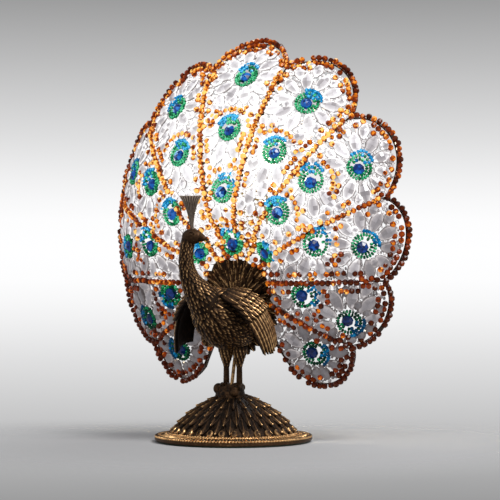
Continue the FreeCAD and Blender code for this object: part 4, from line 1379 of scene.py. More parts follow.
@dataclass
class Plumage:
    """Small cast feathers over the torso, the neck and the thighs."""

    torso: tuple[float, float, float] = (0.0, -16.0, 126.0)
    torso_half: float = 46.0
    torso_radius: float = 28.0
    torso_lean: float = 25.0
    back_end: float = 8.5
    neck_rise: float = 71.3
    neck_foot: float = 137.2
    stations: tuple[tuple[float, float, float, float], ...] = (
        (0.0, 1.0, 43.0, 17.0), (0.2, 4.0, 55.0, 14.5), (0.42, 9.5, 64.0, 9.6),
        (0.68, 11.5, 69.0, 6.8), (1.0, 9.0, 69.0, 6.2))
    body_feather: tuple[float, float, float] = (4.6, 7.2, 0.9)
    body_spacing: tuple[float, float] = (4.3, 3.7)
    neck_feather: tuple[float, float, float] = (4.3, 6.4, 0.95)
    thigh_feather: tuple[float, float, float] = (4.6, 7.0, 1.1)
    thigh_aside: float = 8.0
    thigh_back: float = -1.0
    thigh_top: float = 99.0
    thigh_foot: float = 81.0
    thigh_radius: tuple[float, float] = (2.6, 8.5)
    thigh_rows: int = 7
    seed: int = 5

    def neck(self, share: float) -> tuple[np.ndarray, float]:
        """Middle and radius of the neck.

        Args:
            share: 0 at the torso, 1 at the head.

        Returns:
            Its middle and its radius there.
        """
        table = np.array(self.stations)
        last = len(table) - 1
        index = int(np.clip(np.searchsorted(table[:, 0], share, side="right") - 1, 0, last - 1))
        low, high = table[index], table[index + 1]
        before, after = table[max(0, index - 1)], table[min(last, index + 2)]
        part = (share - low[0]) / (high[0] - low[0])
        width = high[0] - low[0]
        start = (high - before) / max(1e-6, high[0] - before[0]) * width
        end = (after - low) / max(1e-6, after[0] - low[0]) * width
        square, cube = part * part, part ** 3
        row = (low * (2 * cube - 3 * square + 1) + start * (cube - 2 * square + part)
               + high * (3 * square - 2 * cube) + end * (cube - square))
        middle = np.array([-row[1], -row[2], self.neck_foot + self.neck_rise * share])
        return middle, float(row[3])

    def in_neck(self, place: np.ndarray, margin: float) -> bool:
        """Tells whether a place lies within the neck."""
        for share in np.linspace(0.0, 0.5, 9):
            middle, radius = self.neck(share)
            if float(np.linalg.norm(place - middle)) < radius - margin:
                return True
        return False

    def in_torso(self, place: np.ndarray, margin: float) -> bool:
        """Tells whether a place lies within the torso."""
        aside, rear, rise = self.leaning() @ (place - np.array(self.torso))
        radius = self.torso_radius
        return (aside / radius) ** 2 + (rear / self.torso_half) ** 2 + (rise / radius) ** 2 < (
            1.0 - margin / radius) ** 2

    def leaning(self) -> np.ndarray:
        """The torso's own directions: aside, to the rear along its axis, and upwards."""
        lean = math.radians(self.torso_lean)
        return np.array([[1.0, 0.0, 0.0], [0.0, math.cos(lean), -math.sin(lean)],
                         [0.0, math.sin(lean), math.cos(lean)]])

    def build(self) -> None:
        """Builds all the small feathers as one piece."""
        self.dice = random.Random(self.seed)
        self.pile = Pile()
        self.cover_torso()
        self.cover_neck()
        self.cover_thighs()
        self.pile.piece("body_feathers", CAST, "cast_patina", True)

    def lay(self, place: np.ndarray, normal: np.ndarray, along: np.ndarray,
            length: float, width: float, height: float) -> None:
        """Lays one small feather.

        Args:
            place: where its root is.
            normal: direction out of the surface.
            along: direction that it points in.
            length: its length.
            width: its width.
            height: how proud its tip stands.
        """
        axes = upright(normal, along)
        tip = unit(axes[1] + axes[2] * 0.10)
        axes = upright(axes[2], tip)
        self.pile.add(BODY_SCALE, place + axes[2] * 0.15, axes,
                      (width, length, height * self.dice.uniform(0.85, 1.2)))

    def cover_torso(self) -> None:
        """Covers the egg of the torso from the breast to the rump."""
        middle = np.array(self.torso)
        neck_base, _ = self.neck(0.1)
        aside, rear, rise = self.leaning()
        row, along = 0, -self.torso_half + 1.2
        while along < self.torso_half * 0.9:
            radius = self.torso_radius * math.sqrt(max(0.0, 1 - (along / self.torso_half) ** 2))
            slope = self.torso_radius * along / (self.torso_half * math.sqrt(
                max(1e-4, self.torso_half ** 2 - along ** 2)))
            count = max(5, int(2 * math.pi * radius / self.body_spacing[0]))
            for turn in turns(count, 0.5 * (row % 2)):
                out = aside * math.cos(turn) + rise * math.sin(turn)
                place = middle + out * radius + rear * along
                if place[1] > self.back_end or self.in_neck(place, 3.0):
                    continue
                flow = unit(place - neck_base) * 0.8 + np.array([0.0, 0.9, -0.15])
                flow = flow + jitter(self.dice, 0.32)
                width, length, height = self.body_feather
                length *= self.dice.uniform(0.75, 1.25)
                width *= self.dice.uniform(0.8, 1.2)
                self.lay(place, unit(out + rear * slope), flow, length, width, height)
            along += self.body_spacing[1] / math.hypot(1.0, slope)
            row += 1

    def cover_neck(self) -> None:
        """Covers the neck from the head down."""
        row, share = 0, 0.985
        while share > 0.0:
            middle, radius = self.neck(share)
            below, narrower = self.neck(max(0.0, share - 0.02))
            down = unit(below - middle)
            flare = (narrower - radius) / max(1e-6, float(np.linalg.norm(below - middle)))
            count = max(8, int(2 * math.pi * radius / (2.7 + radius * 0.08)))
            side = unit(np.cross(down, np.array([0.0, 1.0, 0.2])))
            front = np.cross(down, side)
            for turn in turns(count, 0.5 * (row % 2)):
                out = side * math.cos(turn) + front * math.sin(turn)
                place = middle + out * radius
                if self.in_torso(place, 1.5):
                    continue
                size = 0.62 + radius * 0.024
                size *= self.dice.uniform(0.85, 1.15)
                flow = down + out * flare + jitter(self.dice, 0.22)
                width, length, height = (value * size for value in self.neck_feather)
                self.lay(place, unit(out - down * flare), flow, length, width, height)
            share -= (2.3 + radius * 0.06) / self.neck_rise
            row += 1

    def cover_thighs(self) -> None:
        """Covers both thighs with feathers that hang down."""
        thin, thick = self.thigh_radius
        width, length, proud = self.thigh_feather
        for side in (-1, 1):
            for row in range(self.thigh_rows):
                height = self.thigh_top - row * 3.0
                share = (height - self.thigh_foot) / (self.thigh_top - self.thigh_foot)
                radius = thin + (thick - thin) * max(0.0, min(1.0, share))
                count = max(6, int(2 * math.pi * radius / 3.8))
                for turn in turns(count, 0.5 * (row % 2)):
                    out = level_way(turn)
                    place = np.array([side * self.thigh_aside, self.thigh_back, height])
                    self.lay(place + out * radius, out - UP * 0.25, -UP - out * 0.3, length, width,
                             proud)


@dataclass
class Head:
    """The head: skull, brow, eyes, cheeks and a bent beak."""

    skull: tuple[float, float, float] = (-5.0, -68.0, 210.5)
    half_length: float = 11.2
    radius: float = 8.0
    beak_from: tuple[float, float, float] = (2.6, -68.0, 210.4)
    beak_length: float = 13.8
    beak_radius: float = 5.4
    face: tuple[float, float, float] = (5.4, 0.0, 0.2)
    face_size: tuple[float, float, float] = (6.0, 6.4, 6.4)
    nape: tuple[float, float, float] = (-4.9, 0.4, -3.2)
    nape_size: tuple[float, float, float] = (7.0, 6.8, 7.4)
    eye_place: tuple[float, float, float] = (3.4, 6.6, 1.6)
    eyelid: tuple[float, float, float] = (2.3, 1.4, 2.0)
    eyeball: tuple[float, float, float] = (1.35, 1.2, 1.25)
    wear: float = 0.46

    def build(self) -> None:
        """Builds the head as one piece."""
        pile = Pile()
        middle = np.array(self.skull)
        level = np.eye(3)
        ball = ball_shape(16, 28)
        ball = Shape(ball.points, ball.faces, np.full(len(ball.points), self.wear))
        forward = np.array([[0, 1, 0], [0, 0, 1], [1, 0, 0]], float)
        pile.add(ball, middle, forward, (self.radius, self.radius, self.half_length))
        pile.add(ball, middle + np.array(self.face), forward, self.face_size)
        pile.add(ball, middle + np.array(self.nape), level, self.nape_size)
        self.add_beak(pile)
        for side in (-1, 1):
            eye = middle + np.array(self.eye_place) * np.array([1, side, 1])
            pile.add(ball, eye, level, self.eyelid)
            pile.add(ball, eye + np.array([0.1, side * 0.7, 0.0]), level, self.eyeball)
            for step in range(9):
                turn = math.pi * (0.12 + 0.80 * step / 8)
                brow = eye + np.array([3.4 * math.cos(turn), side * (0.1 - 0.5 * math.sin(turn)),
                                       0.6 + 2.5 * math.sin(turn)])
                pile.add(ball, brow, level, (1.0, 0.95, 0.75))
            for row in range(3):
                for step in range(6):
                    turn = math.pi * (1.05 + 0.55 * step / 5)
                    reach = 3.2 + row * 1.7
                    cheek = eye + np.array([reach * math.cos(turn), side * (-0.5 - row * 0.55),
                                            reach * math.sin(turn) + 0.6])
                    pile.add(ball, cheek, level, (1.0, 0.9, 0.7))
        pile.piece("head", CAST, "cast_patina", True)

    def add_beak(self, pile: Pile) -> None:
        """Adds the two halves of the beak.

        Args:
            pile: the head's pile.
        """
        start = np.array(self.beak_from)
        for lower, size, drop in ((False, 1.0, 0.0), (True, 0.5, -3.3)):
            rows, columns = 14, 14
            points: list[np.ndarray] = []
            length = self.beak_length * (0.72 if lower else 1.0)
            for row in range(rows + 1):
                share = row / rows
                radius = max(0.35, self.beak_radius * size * (1.0 - share ** 1.25 * 0.88))
                bend = -7.2 * share ** 2.6 - 0.3 * share if not lower else 0.6 * share
                middle = start + np.array(
                    [length * share - 0.5, 0.0, bend + drop * (1 - 0.4 * share)])
                for turn in turns(columns):
                    rise = math.sin(turn)
                    if not lower:
                        rise = max(-0.35, rise)
                    points.append(middle + np.array([0.0, math.cos(turn) * 0.78, rise]) * radius)
            pile.add_placed(points, tube_faces(rows + 1, columns), [self.wear] * len(points))


@dataclass
class Wing:
    """A half-open wing: long quills side by side under rows of short coverts."""

    side: int
    torso: tuple[float, float, float] = (0.0, -20.0, 126.0)
    front: tuple[tuple[float, float, float], ...] = (
        (15, -30, 25), (42, -24, 10), (52, -14, -14), (54, -4, -40))
    rear: tuple[tuple[float, float, float], ...] = (
        (13, -10, 33), (34, 12, 30), (50, 22, 6), (52, 21, -32))
    arch: float = 5.0
    quills: int = 9
    seed: int = 11

    def place(self, along: float, across: float) -> np.ndarray:
        """A place on the wing's outer face.

        Args:
            along: 0 at the shoulder, 1 at the tip.
            across: 0 at the front edge, 1 at the rear.

        Returns:
            The place, in the lamp's frame.
        """
        first, second = bezier(self.front, along), bezier(self.rear, along)
        spot = first + (second - first) * across
        bulge = self.arch * 4 * across * (1 - across)
        spot = spot + unit(np.array([1.0, -0.25, 0.45])) * bulge
        return spot * np.array([self.side, 1, 1]) + np.array(self.torso)

    def axes(self, along: float, across: float) -> np.ndarray:
        """Directions on the wing's outer face: across, along and out."""
        ahead = self.place(along + 0.01, across) - self.place(along - 0.01, across)
        aside = self.place(along, across + 0.01) - self.place(along, across - 0.01)
        normal = np.cross(ahead, aside)
        if normal[0] * self.side < 0:
            normal = -normal
        return upright(normal, ahead)

    def build(self) -> None:
        """Builds the wing as one piece in place of its plain casting."""
        self.dice = random.Random(self.seed + self.side)
        pile = Pile()
        self.add_blade(pile)
        for number in range(self.quills):
            across = (number + 0.5) / self.quills
            end = 1.0 - 0.16 * abs(across - 0.30) ** 1.1 - 0.035 * self.dice.random()
            start = 0.22 + 0.05 * math.sin(3.0 * across)
            self.add_quill(pile, across, start, end)
        rows = ((0.02, 5, 0.20), (0.12, 6, 0.20), (0.22, 7, 0.19), (0.32, 8, 0.17))
        for start, count, span in rows:
            for number in range(count):
                across = (number + 0.5) / count
                self.add_covert(pile, across, start + 0.04 * across, span, count)
        name = "left_wing" if self.side > 0 else "right_wing"
        pile.piece(f"{name}_feathers", CAST, "cast_patina", True, [name])

    def add_blade(self, pile: Pile) -> None:
        """Adds the plain blade that carries the feathers.

        Args:
            pile: the wing's pile.
        """
        rows, columns = 24, 10
        outer, inner = [], []
        for row in range(rows + 1):
            along = 0.93 * row / rows
            for column in range(columns + 1):
                across = 0.02 + 0.96 * column / columns
                spot, out = self.place(along, across), self.axes(along, across)[2]
                outer.append(spot - out * 0.6)
                inner.append(spot - out * 2.6)
        pile.add_placed(outer + inner, self.shell(rows, columns), [0.15] * (2 * len(outer)))

    def shell(self, rows: int, columns: int) -> list[tuple[int, ...]]:
        """Faces of a closed shell that face outward on this side's wing."""
        faces = shell_faces(rows, columns)
        return faces if self.side > 0 else [tuple(reversed(face)) for face in faces]

    def add_quill(self, pile: Pile, across: float, start: float, end: float) -> None:
        """Adds one long feather along the wing.

        Args:
            pile: the wing's pile.
            across: its middle line, from the front edge to the rear.
            start: where it begins along the wing.
            end: where its tip is.
        """
        rows, columns = 40, 8
        half = 0.62 / self.quills
        upper, lower, relief = [], [], []
        for row in range(rows + 1):
            share = row / rows
            along = start + (end - start) * share
            narrow = min(1.0, (1.0 - share) * 7.0) ** 0.6
            out = self.axes(along, across)[2]
            for column in range(columns + 1):
                aside = 2 * column / columns - 1
                spot = self.place(along, across + half * aside * max(0.12, narrow))
                shaft = max(0.0, 1.0 - abs(aside) / 0.22)
                barb = math.cos(90.0 * (along - 0.05 * abs(aside)))
                height = 1.15 * (1.0 - aside * aside) + 0.5 * shaft + 0.10 * barb
                height += 0.5 * (aside + 1.0) * 0.45
                upper.append(spot + out * height)
                lower.append(spot - out)
                relief.append(min(1.0, 0.25 + 0.45 * (1 - aside * aside) + 0.35 * shaft
                                  + 0.12 * barb))
        pile.add_placed(upper + lower, self.shell(rows, columns), relief + [0.0] * len(lower))

    def add_covert(self, pile: Pile, across: float, start: float, span: float,
                   count: int) -> None:
        """Adds one short feather of the shoulder.

        Args:
            pile: the wing's pile.
            across: its middle line.
            start: where it begins along the wing.
            span: its length as a share of the wing's.
            count: how many stand in its row.
        """
        axes = self.axes(start + span * 0.3, across)
        spot = self.place(start, across)
        ahead = self.place(start + span, across)
        length = float(np.linalg.norm(ahead - spot)) * 1.15
        width = float(np.linalg.norm(self.place(start + span * 0.5, 1.0)
                                     - self.place(start + span * 0.5, 0.0))) / count * 1.35
        direction = upright(axes[2], ahead - spot)
        tilt = upright(direction[2] - direction[1] * 0.08, direction[1])
        pile.add(TAIL_FEATHER, spot + direction[2] * 0.9, tilt, (width, length, 1.9))


@dataclass
class CrestPlume:
    """The plume on the head: a narrow stem that opens into a ribbed, flattened cup."""

    foot: tuple[float, float, float] = (-5.0, -68.0, 215.5)
    top: float = 251.8
    lean: float = -2.0
    half_width: float = 13.0
    half_thick: float = 4.0
    stem: float = 1.9
    ribs: int = 22

    def build(self) -> None:
        """Builds the plume as one piece in place of its plain casting."""
        rows, columns = 44, 176
        points, relief = [], []
        rise = self.top - self.foot[2]
        for row in range(rows + 1):
            share = row / rows
            open_share = max(0.0, (share - 0.10) / 0.90)
            flare = open_share ** 1.75 * 0.80 + 0.20 * open_share ** 9
            for turn in turns(columns):
                rib = math.cos(self.ribs * turn)
                groove = 1.0 + 0.085 * rib * min(1.0, open_share * 3.0)
                wide = (self.stem + (self.half_width - self.stem) * flare) * groove
                thick = (self.stem * 0.85 + (self.half_thick - self.stem * 0.85) * flare) * groove
                scallop = 0.7 * rib * open_share ** 10
                points.append((self.foot[0] + self.lean * share + wide * math.cos(turn),
                               self.foot[1] + thick * math.sin(turn),
                               self.foot[2] + rise * share + scallop - 0.7 * share))
                relief.append(0.42 + 0.36 * rib + 0.28 * open_share ** 6)
        for ring, (inset, drop) in enumerate(((0.86, 0.2), (0.72, 1.6), (0.3, 3.0))):
            for turn in turns(columns):
                points.append((self.foot[0] + self.lean + self.half_width * inset * math.cos(turn),
                               self.foot[1] + self.half_thick * inset * math.sin(turn),
                               self.top - drop))
                relief.append(0.35 - 0.1 * ring)
        pile = Pile()
        pile.add_placed(points, tube_faces(len(points) // columns, columns), relief)
        pile.piece("crest_plume", CREST, "crest_patina", True, ["crest"])


@dataclass
class TailRoot:
    """The cast fan of feathers behind the body that hides the shade's middle."""

    hub: tuple[float, float, float] = (0.0, 8.0, 143.0)
    rump: tuple[float, float, float] = (0.0, 8.0, 121.0)
    rows: tuple[tuple[float, int, float, float], ...] = (
        (1.0, 31, 9.0, 2.0), (0.88, 27, 9.5, 0.4), (0.74, 23, 9.5, -1.2), (0.60, 19, 9.5, -2.8),
        (0.46, 14, 9.5, -4.2), (0.32, 9, 9.5, -5.2))
    top_reach: float = 48.0
    side_more: float = 1.0
    spread: float = 250.0
    feather: float = 17.0
    thick: float = 2.6
    rump_feather: tuple[float, float, float] = (8.0, 15.0, 2.2)
    shell: tuple[float, float, float] = (36.0, 6.6, 105.0)
    shell_feather: tuple[float, float, float] = (6.0, 9.6, 1.8)
    seed: int = 3

    def build(self) -> None:
        """Builds the feathers as one piece in front of the plain casting."""
        dice = random.Random(self.seed)
        pile = Pile()
        hub = np.array(self.hub)
        for share, count, width, depth in self.rows:
            for index in range(count):
                degrees = self.spread * ((index + 0.5) / count - 0.5) + dice.uniform(-4.0, 4.0)
                turn = math.radians(degrees)
                away = np.array([math.sin(turn), 0.0, math.cos(turn)])
                extent = self.top_reach + self.side_more * min(1.0, abs(degrees) / 80.0) ** 1.4
                end = extent * share * dice.uniform(0.90, 1.08)
                length = self.feather * dice.uniform(0.85, 1.12)
                slant = away + np.array([0.0, 0.10 if share > 0.9 else -0.04, 0.0])
                slant = slant + np.array(
                    [dice.uniform(-0.22, 0.22), 0.0, dice.uniform(-0.22, 0.22)])
                facing = np.array([dice.uniform(-0.3, 0.3), -1.0, 0.0]) + away * 0.12
                spot = hub + away * (end - length) + np.array([0.0, depth, 0.0])
                pile.add(TAIL_FEATHER, spot, upright(facing, slant),
                         (width * dice.uniform(0.85, 1.15), length, self.thick))
        for side in (-1, 1):
            for row in range(3):
                for index in range(5):
                    turn = math.radians(118 + index * 14.0)
                    away = np.array([side * math.sin(turn), 0.0, math.cos(turn)])
                    spot = np.array(self.rump) + away * (6.0 + row * 6.5)
                    axes = upright(FRONT + away * 0.2, away)
                    pile.add(TAIL_FEATHER, spot + np.array([0.0, row * 0.9 - 1.4, 0.0]), axes,
                             self.rump_feather)
            shell = np.array(self.shell) * np.array([side, 1, 1])
            for turn in turns(9):
                away = np.array([math.cos(turn), 0.0, math.sin(turn)])
                axes = upright(FRONT + away * 0.25, away)
                pile.add(TAIL_FEATHER, shell, axes, self.shell_feather)
        pile.piece("tail_root_feathers", CAST, "cast_patina", True)


@dataclass
class Feet:
    """Scaly shanks, toes with claws, and the rough mound that they stand on."""

    leg_aside: float = 8.0
    leg_back: float = -1.0
    ankle: float = 57.0
    knee: float = 82.0
    wear: float = 0.55
    shank: tuple[float, float, float] = (3.15, 0.5, 0.2)
    scutes: int = 15
    toes: tuple[tuple[int, float], ...] = ((-34, 12.0), (0, 13.5), (34, 12.0), (180, 8.0))
    mound: tuple[float, float] = (-1.5, -5.0)
    mound_radius: tuple[float, float] = (13.6, 2.2)
    mound_height: tuple[float, float] = (45.5, 10.5)
    mound_lumps: int = 46
    lumps: tuple[tuple[tuple[float, float, float], float], ...] = (
        ((-9.5, -10.5, 53.0), 6.6), ((9.0, -12.0, 52.0), 5.4), ((0.5, -14.0, 49.5), 5.0))
    seed: int = 9

    def build(self) -> None:
        """Builds the legs' details as one piece."""
        dice = random.Random(self.seed)
        pile = Pile()
        ball = ball_shape(10, 14)
        ball = Shape(ball.points, ball.faces, ball.relief * self.wear)
        wide, taper, ridge = self.shank
        for side in (-1, 1):
            profile = [(0.0, self.ankle)]
            steps = 54
            for index in range(steps + 1):
                share = index / steps
                scute = ridge * abs(math.sin(math.pi * share * self.scutes))
                profile.append((wide - taper * share + scute, self.ankle + 0.2
                                + (self.knee - self.ankle) * share))
            profile.append((0.0, self.knee + 0.4))
            leg = turned_shape(profile, 20)
            values = np.array([0.0] + [0.25 + 0.3 * abs(math.sin(math.pi * i / steps * self.scutes))
                                       for i in range(steps + 1) for _ in range(20)] + [0.0])
            leg = Shape(leg.points, leg.faces, values)
            foot = np.array([side * self.leg_aside, self.leg_back, 0.0])
            pile.add(leg, foot, np.eye(3), (1, 1, 1))
            for splay, length in self.toes:
                turn = math.radians(splay)
                away = np.array([math.sin(turn), -math.cos(turn), 0.0])
                base = np.array([foot[0], foot[1], self.ankle + 1.0])
                for knuckle in range(4):
                    share = (knuckle + 0.5) / 4
                    size = 2.9 - 1.1 * share
                    spot = base + away * length * share + np.array([0, 0, 1.0 - 3.0 * share ** 2])
                    pile.add(ball, spot, upright(UP, away),
                             (size, length / 5.2, size * 0.92))
                claw = base + away * (length + 1.0) + np.array([0, 0, -2.6])
                axes = upright(away, UP - away * 1.2)
                pile.add(ball, claw, axes, (1.1, 2.6, 1.2))
        low, rise = self.mound_height
        for _ in range(self.mound_lumps):
            turn = dice.uniform(0, 2 * math.pi)
            share = dice.random()
            radius = self.mound_radius[0] - self.mound_radius[1] * share
            spot = np.array([self.mound[0] + math.cos(turn) * radius,
                             self.mound[1] + math.sin(turn) * radius, low + rise * share])
            axes = upright(np.array([math.cos(turn), math.sin(turn), 0.4]),
                           np.array([dice.uniform(-1, 1), dice.uniform(-1, 1), 1.0]))
            pile.add(ball, spot, axes, (dice.uniform(2.2, 4.2), dice.uniform(2.6, 4.6),
                                        dice.uniform(0.9, 1.9)))
        for spot, size in self.lumps:
            for _ in range(5):
                shift = jitter(dice, 0.28) * size
                pile.add(ball, np.array(spot) + shift, np.eye(3),
                         (size * 0.86, size * 0.8, size * dice.uniform(0.75, 0.95)))
        pile.piece("legs_and_mound", CAST, "cast_patina", True)


# --- the foot


@dataclass
class LeafyFoot:
    """Tiers of long leaves down the dome, and the bordered rim round it."""

    top: tuple[float, float] = (17.0, 45.0)
    shoulder: tuple[float, float] = (49.0, 24.0)
    foot: tuple[float, float] = (63.0, 9.0)
    rim: tuple[float, float] = (81.0, 5.0)
    tiers: tuple[tuple[float, float, int, float, float, float], ...] = (
        (0.62, 0.98, 27, 9.6, 0.5, 2.2), (0.40, 0.80, 27, 9.4, 0.0, 2.3),
        (0.20, 0.60, 25, 8.6, 0.5, 2.3), (0.0, 0.38, 19, 7.6, 0.0, 2.2),
        (-0.14, 0.16, 13, 6.6, 0.5, 2.0))
    bosses: int = 32
    borders: tuple[tuple[int, float, tuple[float, float, float], float], ...] = (
        (120, 65.6, (1.5, 1.5, 1.5), 0.5), (150, 78.9, (2.6, 1.25, 1.7), 0.5),
        (110, 72.4, (3.9, 0.95, 1.1), 0.1))
    cords: tuple[tuple[float, float], ...] = ((68.0, 8.2), (76.6, 6.4))
    cord_beads: int = 200
    seed: int = 7

    def curve(self, share: float) -> tuple[np.ndarray, np.ndarray]:
        """A place on the dome's curve.

        Args:
            share: 0 at its top, 1 at its foot; it may run a little further.

        Returns:
            (radius, height) there, and the direction out of the surface.
        """
        (ax, ay), (bx, by), (cx, cy) = self.top, self.shoulder, self.foot
        d = 2 * (ax * (by - cy) + bx * (cy - ay) + cx * (ay - by))
        ux = ((ax * ax + ay * ay) * (by - cy) + (bx * bx + by * by) * (cy - ay)
              + (cx * cx + cy * cy) * (ay - by)) / d
        uy = ((ax * ax + ay * ay) * (cx - bx) + (bx * bx + by * by) * (ax - cx)
              + (cx * cx + cy * cy) * (bx - ax)) / d
        middle = np.array([ux, uy])
        size = math.hypot(ax - ux, ay - uy)
        first, last = math.atan2(ay - uy, ax - ux), math.atan2(cy - uy, cx - ux)
        turn = first + (last - first) * share
        out = np.array([math.cos(turn), math.sin(turn)])
        return middle + out * size, out

    def around(self, flat: np.ndarray, turn: float) -> np.ndarray:
        """A (radius, height) pair turned round the lamp's axis."""
        return np.array([flat[0] * math.cos(turn), flat[0] * math.sin(turn), flat[1]])

    def build(self) -> None:
        """Builds the foot's relief as one piece on the plain dome."""
        dice = random.Random(self.seed)
        pile = Pile()
        for start, end, count, width, shift, height in self.tiers:
            for turn in turns(count, shift):
                low, out_low = self.curve(start)
                high, out_high = self.curve(end)
                a, b = self.around(low, turn), self.around(high, turn)
                out = self.around((out_low + out_high) / 2, turn)
                axes = upright(out, b - a)
                tilt = upright(axes[2] - axes[1] * 0.02, axes[1])
                sag = self.around(self.curve((start + end) / 2)[0], turn) - (a + b) / 2
                pile.add(FOOT_LEAF, a + sag * 0.8 - axes[2] * 0.2, tilt,
                         (width * dice.uniform(0.95, 1.05), float(np.linalg.norm(b - a)) * 1.04,
                          height))
        self.add_border(pile)
        pile.piece("foot_leaves", CAST, "cast_patina", True)

    def add_border(self, pile: Pile) -> None:
        """Adds the bosses, the bead line, the ladder band and the rope on the rim.

        Args:
            pile: the foot's pile.
        """
        ball = ball_shape(8, 12)
        flat = unit(np.array([self.rim[0] - self.foot[0], 0.0, self.rim[1] - self.foot[1]]))
        for turn in turns(self.bosses):
            spot, out = self.curve(0.95)
            axes = upright(self.around(out, turn), np.array([-math.sin(turn), math.cos(turn), 0]))
            pile.add(ball, self.around(spot, turn) + axes[2] * 1.2, axes, (4.3, 3.5, 2.6))
        for count, radius, size, lift in self.borders:
            for turn in turns(count):
                share = (radius - self.foot[0]) / (self.rim[0] - self.foot[0])
                height = self.foot[1] + (self.rim[1] - self.foot[1]) * share + lift
                away = level_way(turn)
                aside = np.array([-math.sin(turn), math.cos(turn), 0.0])
                slope = unit(away * flat[0] + np.array([0.0, 0.0, flat[2]]))
                if radius > 75:
                    slope = unit(slope + aside * 0.7)
                normal = UP + away * 0.25
                axes = upright(normal, slope)[[1, 0, 2]]
                axes[1] = -axes[1]
                spot = away * radius + np.array([0.0, 0.0, height])
                pile.add(ball, spot, axes, size)
        for radius, height in self.cords:
            for turn in turns(self.cord_beads):
                away = level_way(turn)
                axes = upright(UP, away)
                pile.add(ball, away * radius + np.array([0.0, 0.0, height]), axes,
                         (1.35, 0.7, 0.8))


# --- carried-over metalwork


@dataclass(frozen=True)
class Metalwork:
    """Finishes for the CAD pieces that stay as they are."""

    finishes: tuple[tuple[str, Finish], ...] = (
        ("foot_dome", CAST_PLAIN), ("legs_casting", CAST_PLAIN), ("bird_body", CAST_PLAIN),
        ("tail_casting", CAST_PLAIN), ("wiring_tube", CAST_PLAIN), ("foot_plate", ZINC),
        ("clamp_nipple", ZINC), ("clamp_washer", ZINC), ("clamp_nut", ZINC),
        ("hub_screws", ZINC), ("felt_pad", GREEN_FELT), ("cord_bushing", BLACK),
        ("hub_plate", FAN_BRASS), ("arm_spacer", HOLDER_BRASS), ("arm_nuts", HOLDER_BRASS),
        ("holder_arm", HOLDER_BRASS), ("holder_shell", HOLDER_BRASS), ("switch_key", KEY),
        ("porcelain_liner", PORCELAIN), ("middle_contact", HOLDER_BRASS), ("bulb_cap", CAP),
        ("bulb_glass", BULB))

    def dress(self) -> None:
        """Gives each piece its material."""
        for name, finish in self.finishes:
            self.coat(name, finish)
        for name in sorted(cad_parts):
            if name.startswith(("fan_rib_", "lobe_rim_")):
                self.coat(name, FAN_BRASS)

    @staticmethod
    def coat(name: str, finish: Finish) -> None:
        """Puts a finish on one CAD node."""
        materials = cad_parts[name].data.materials
        materials.clear()
        materials.append(finish.material())


# --- floor, light, camera


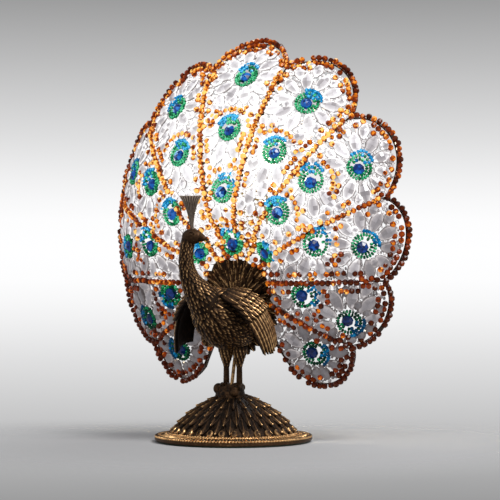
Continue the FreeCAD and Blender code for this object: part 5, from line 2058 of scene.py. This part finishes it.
@dataclass(frozen=True)
class Studio:
    """A pale floor that fades into a grey and white background, soft lamps and the camera."""

    azimuth: float = 33.0
    aim: tuple[float, float, float] = (0.0143, 0.0093, 0.197)
    distance: float = 2.25
    lens: float = 157.25
    floor_radius: float = 0.8
    lamps: tuple[tuple[str, float, float, float, float, float], ...] = (
        ("key", 74.0, 44.0, 1.3, 0.6, 17.5), ("front", 30.0, 55.0, 1.5, 0.5, 3.8),
        ("side", -65.0, 30.0, 1.4, 0.8, 2.2), ("back", 190.0, 45.0, 1.4, 0.9, 4.5))

    def build(self) -> None:
        """Builds the background, the floor, the lamps and the camera."""
        self.background()
        self.floor()
        for name, azimuth, height, distance, size, power in self.lamps:
            self.lamp(name, azimuth, height, distance, size, power)
        glow = bpy.data.objects.new("bulb_light", bpy.data.lights.new("bulb_light", "POINT"))
        glow.data.energy, glow.data.color, glow.data.shadow_soft_size = 0.5, (1.0, 0.85, 0.6), 0.02
        glow.location = (0.0, 0.075, 0.285)
        link(glow)
        self.camera()
        bpy.context.scene.view_settings.view_transform = "Standard"

    @staticmethod
    def direction(azimuth: float, height: float) -> Vector:
        """Direction from the lamp towards a place round it."""
        turn, rise = math.radians(azimuth), math.radians(height)
        return Vector((math.sin(turn) * math.cos(rise), -math.cos(turn) * math.cos(rise),
                       math.sin(rise)))

    def background(self) -> None:
        """Makes the world: white at eye level, grey above and below."""
        world = bpy.data.worlds.new("studio")
        bpy.context.scene.world = world
        world.use_nodes = True
        shader = Shader(world.node_tree)
        parts = shader.node("ShaderNodeSeparateXYZ", None,
                            {0: shader.node("ShaderNodeTexCoord", output="Generated")}, 2)
        size = parts.most(parts * -1.0) * 8.74
        greys = ((0.0, 1.0), (0.12, 0.985), (0.20, 0.94), (0.28, 0.88), (0.44, 0.74),
                 (0.60, 0.615), (0.76, 0.495), (0.92, 0.385), (1.0, 0.332))
        shown = shader.ramp(size.least(1.0), [(at, rgb(v, v, v * 1.006)) for at, v in greys])
        path = "ShaderNodeLightPath"
        seen = shader.node(path, output="Is Camera Ray").most(
            shader.node(path, output="Is Glossy Ray")).most(
            shader.node(path, output="Is Transmission Ray"))
        colour = shader.mix(seen, rgb(0.24, 0.24, 0.25), shown)
        back = shader.node("ShaderNodeBackground", None, {"Color": colour, "Strength": 1.0})
        shader.node("ShaderNodeOutputWorld", None, {"Surface": back})

    def floor(self) -> None:
        """Makes the floor, a pale disc that fades out round its edge."""
        rings, columns = 24, 72
        points = [(0.0, 0.0, 0.0)]
        faces: list[tuple[int, ...]] = []
        for ring in range(1, rings + 1):
            radius = self.floor_radius * ring / rings
            for turn in turns(columns):
                points.append((radius * math.cos(turn), radius * math.sin(turn), 0.0))
        for column in range(columns):
            after = (column + 1) % columns
            faces.append((0, 1 + column, 1 + after))
            for ring in range(rings - 1):
                low, high = 1 + ring * columns, 1 + (ring + 1) * columns
                faces.append((low + column, high + column, high + after, low + after))
        mesh = bpy.data.meshes.new("floor")
        mesh.from_pydata(points, [], faces)
        floor = bpy.data.objects.new("floor", mesh)
        link(floor)
        material = bpy.data.materials.new("pale_floor")
        material.use_nodes = True
        shader = Shader(material.node_tree)
        reach = shader.node("ShaderNodeVectorMath", {"operation": "LENGTH"},
                            {0: shader.place()}, "Value")
        towards = shader.node("ShaderNodeVectorMath", {"operation": "DOT_PRODUCT"},
                              {0: shader.place(), 1: tuple(self.direction(self.azimuth, 0.0))},
                              "Value")
        fade = (1.0 - reach.step(0.12, self.floor_radius * 0.55)) * towards.step(-0.34, -0.06)
        # painted shade: the floor is painted darker on the camera's side than behind the lamp
        tone = shader.mix(towards.step(-0.10, 0.25), rgb(0.43, 0.43, 0.435),
                          rgb(0.37, 0.37, 0.375))
        matt = shader.node("ShaderNodeBsdfDiffuse", None, {"Color": tone})
        clear = shader.node("ShaderNodeBsdfTransparent")
        shown = shader.node("ShaderNodeMixShader", None, {0: fade, 1: clear, 2: matt})
        shader.node("ShaderNodeOutputMaterial", None, {"Surface": shown})
        mesh.materials.append(material)

    def lamp(self, name: str, azimuth: float, height: float, distance: float, size: float,
             power: float) -> None:
        """Adds one soft lamp that faces the object.

        Args:
            name: its name.
            azimuth: where it stands round the object.
            height: its angle above the floor.
            distance: its distance from the object.
            size: its width.
            power: its power in watts.
        """
        light = bpy.data.lights.new(name, "AREA")
        light.shape, light.size, light.energy = "DISK", size, power
        made = bpy.data.objects.new(name, light)
        made.location = Vector(self.aim) + self.direction(azimuth, height) * distance
        made.rotation_euler = (made.location - Vector(self.aim)).to_track_quat("Z", "Y").to_euler()
        link(made)

    def camera(self) -> None:
        """Adds the camera, level with the middle of the object."""
        lens = bpy.data.cameras.new("camera")
        lens.lens, lens.sensor_width = self.lens, 36.0
        made = bpy.data.objects.new("camera", lens)
        back = self.direction(self.azimuth, 0.0)
        made.location = Vector(self.aim) + back * self.distance
        made.rotation_euler = back.to_track_quat("Z", "Y").to_euler()
        link(made)
        bpy.context.scene.camera = made


def main() -> None:
    """Builds the lamp's looks in order."""
    logging.basicConfig(level=logging.INFO, format="%(name)s %(message)s")
    Studio().build()
    Metalwork().dress()
    BeadShade(FanSurface()).build()
    Plumage().build()
    Head().build()
    Wing(1).build()
    Wing(-1).build()
    CrestPlume().build()
    TailRoot().build()
    Feet().build()
    LeafyFoot().build()


if __name__ == "__main__":
    main()
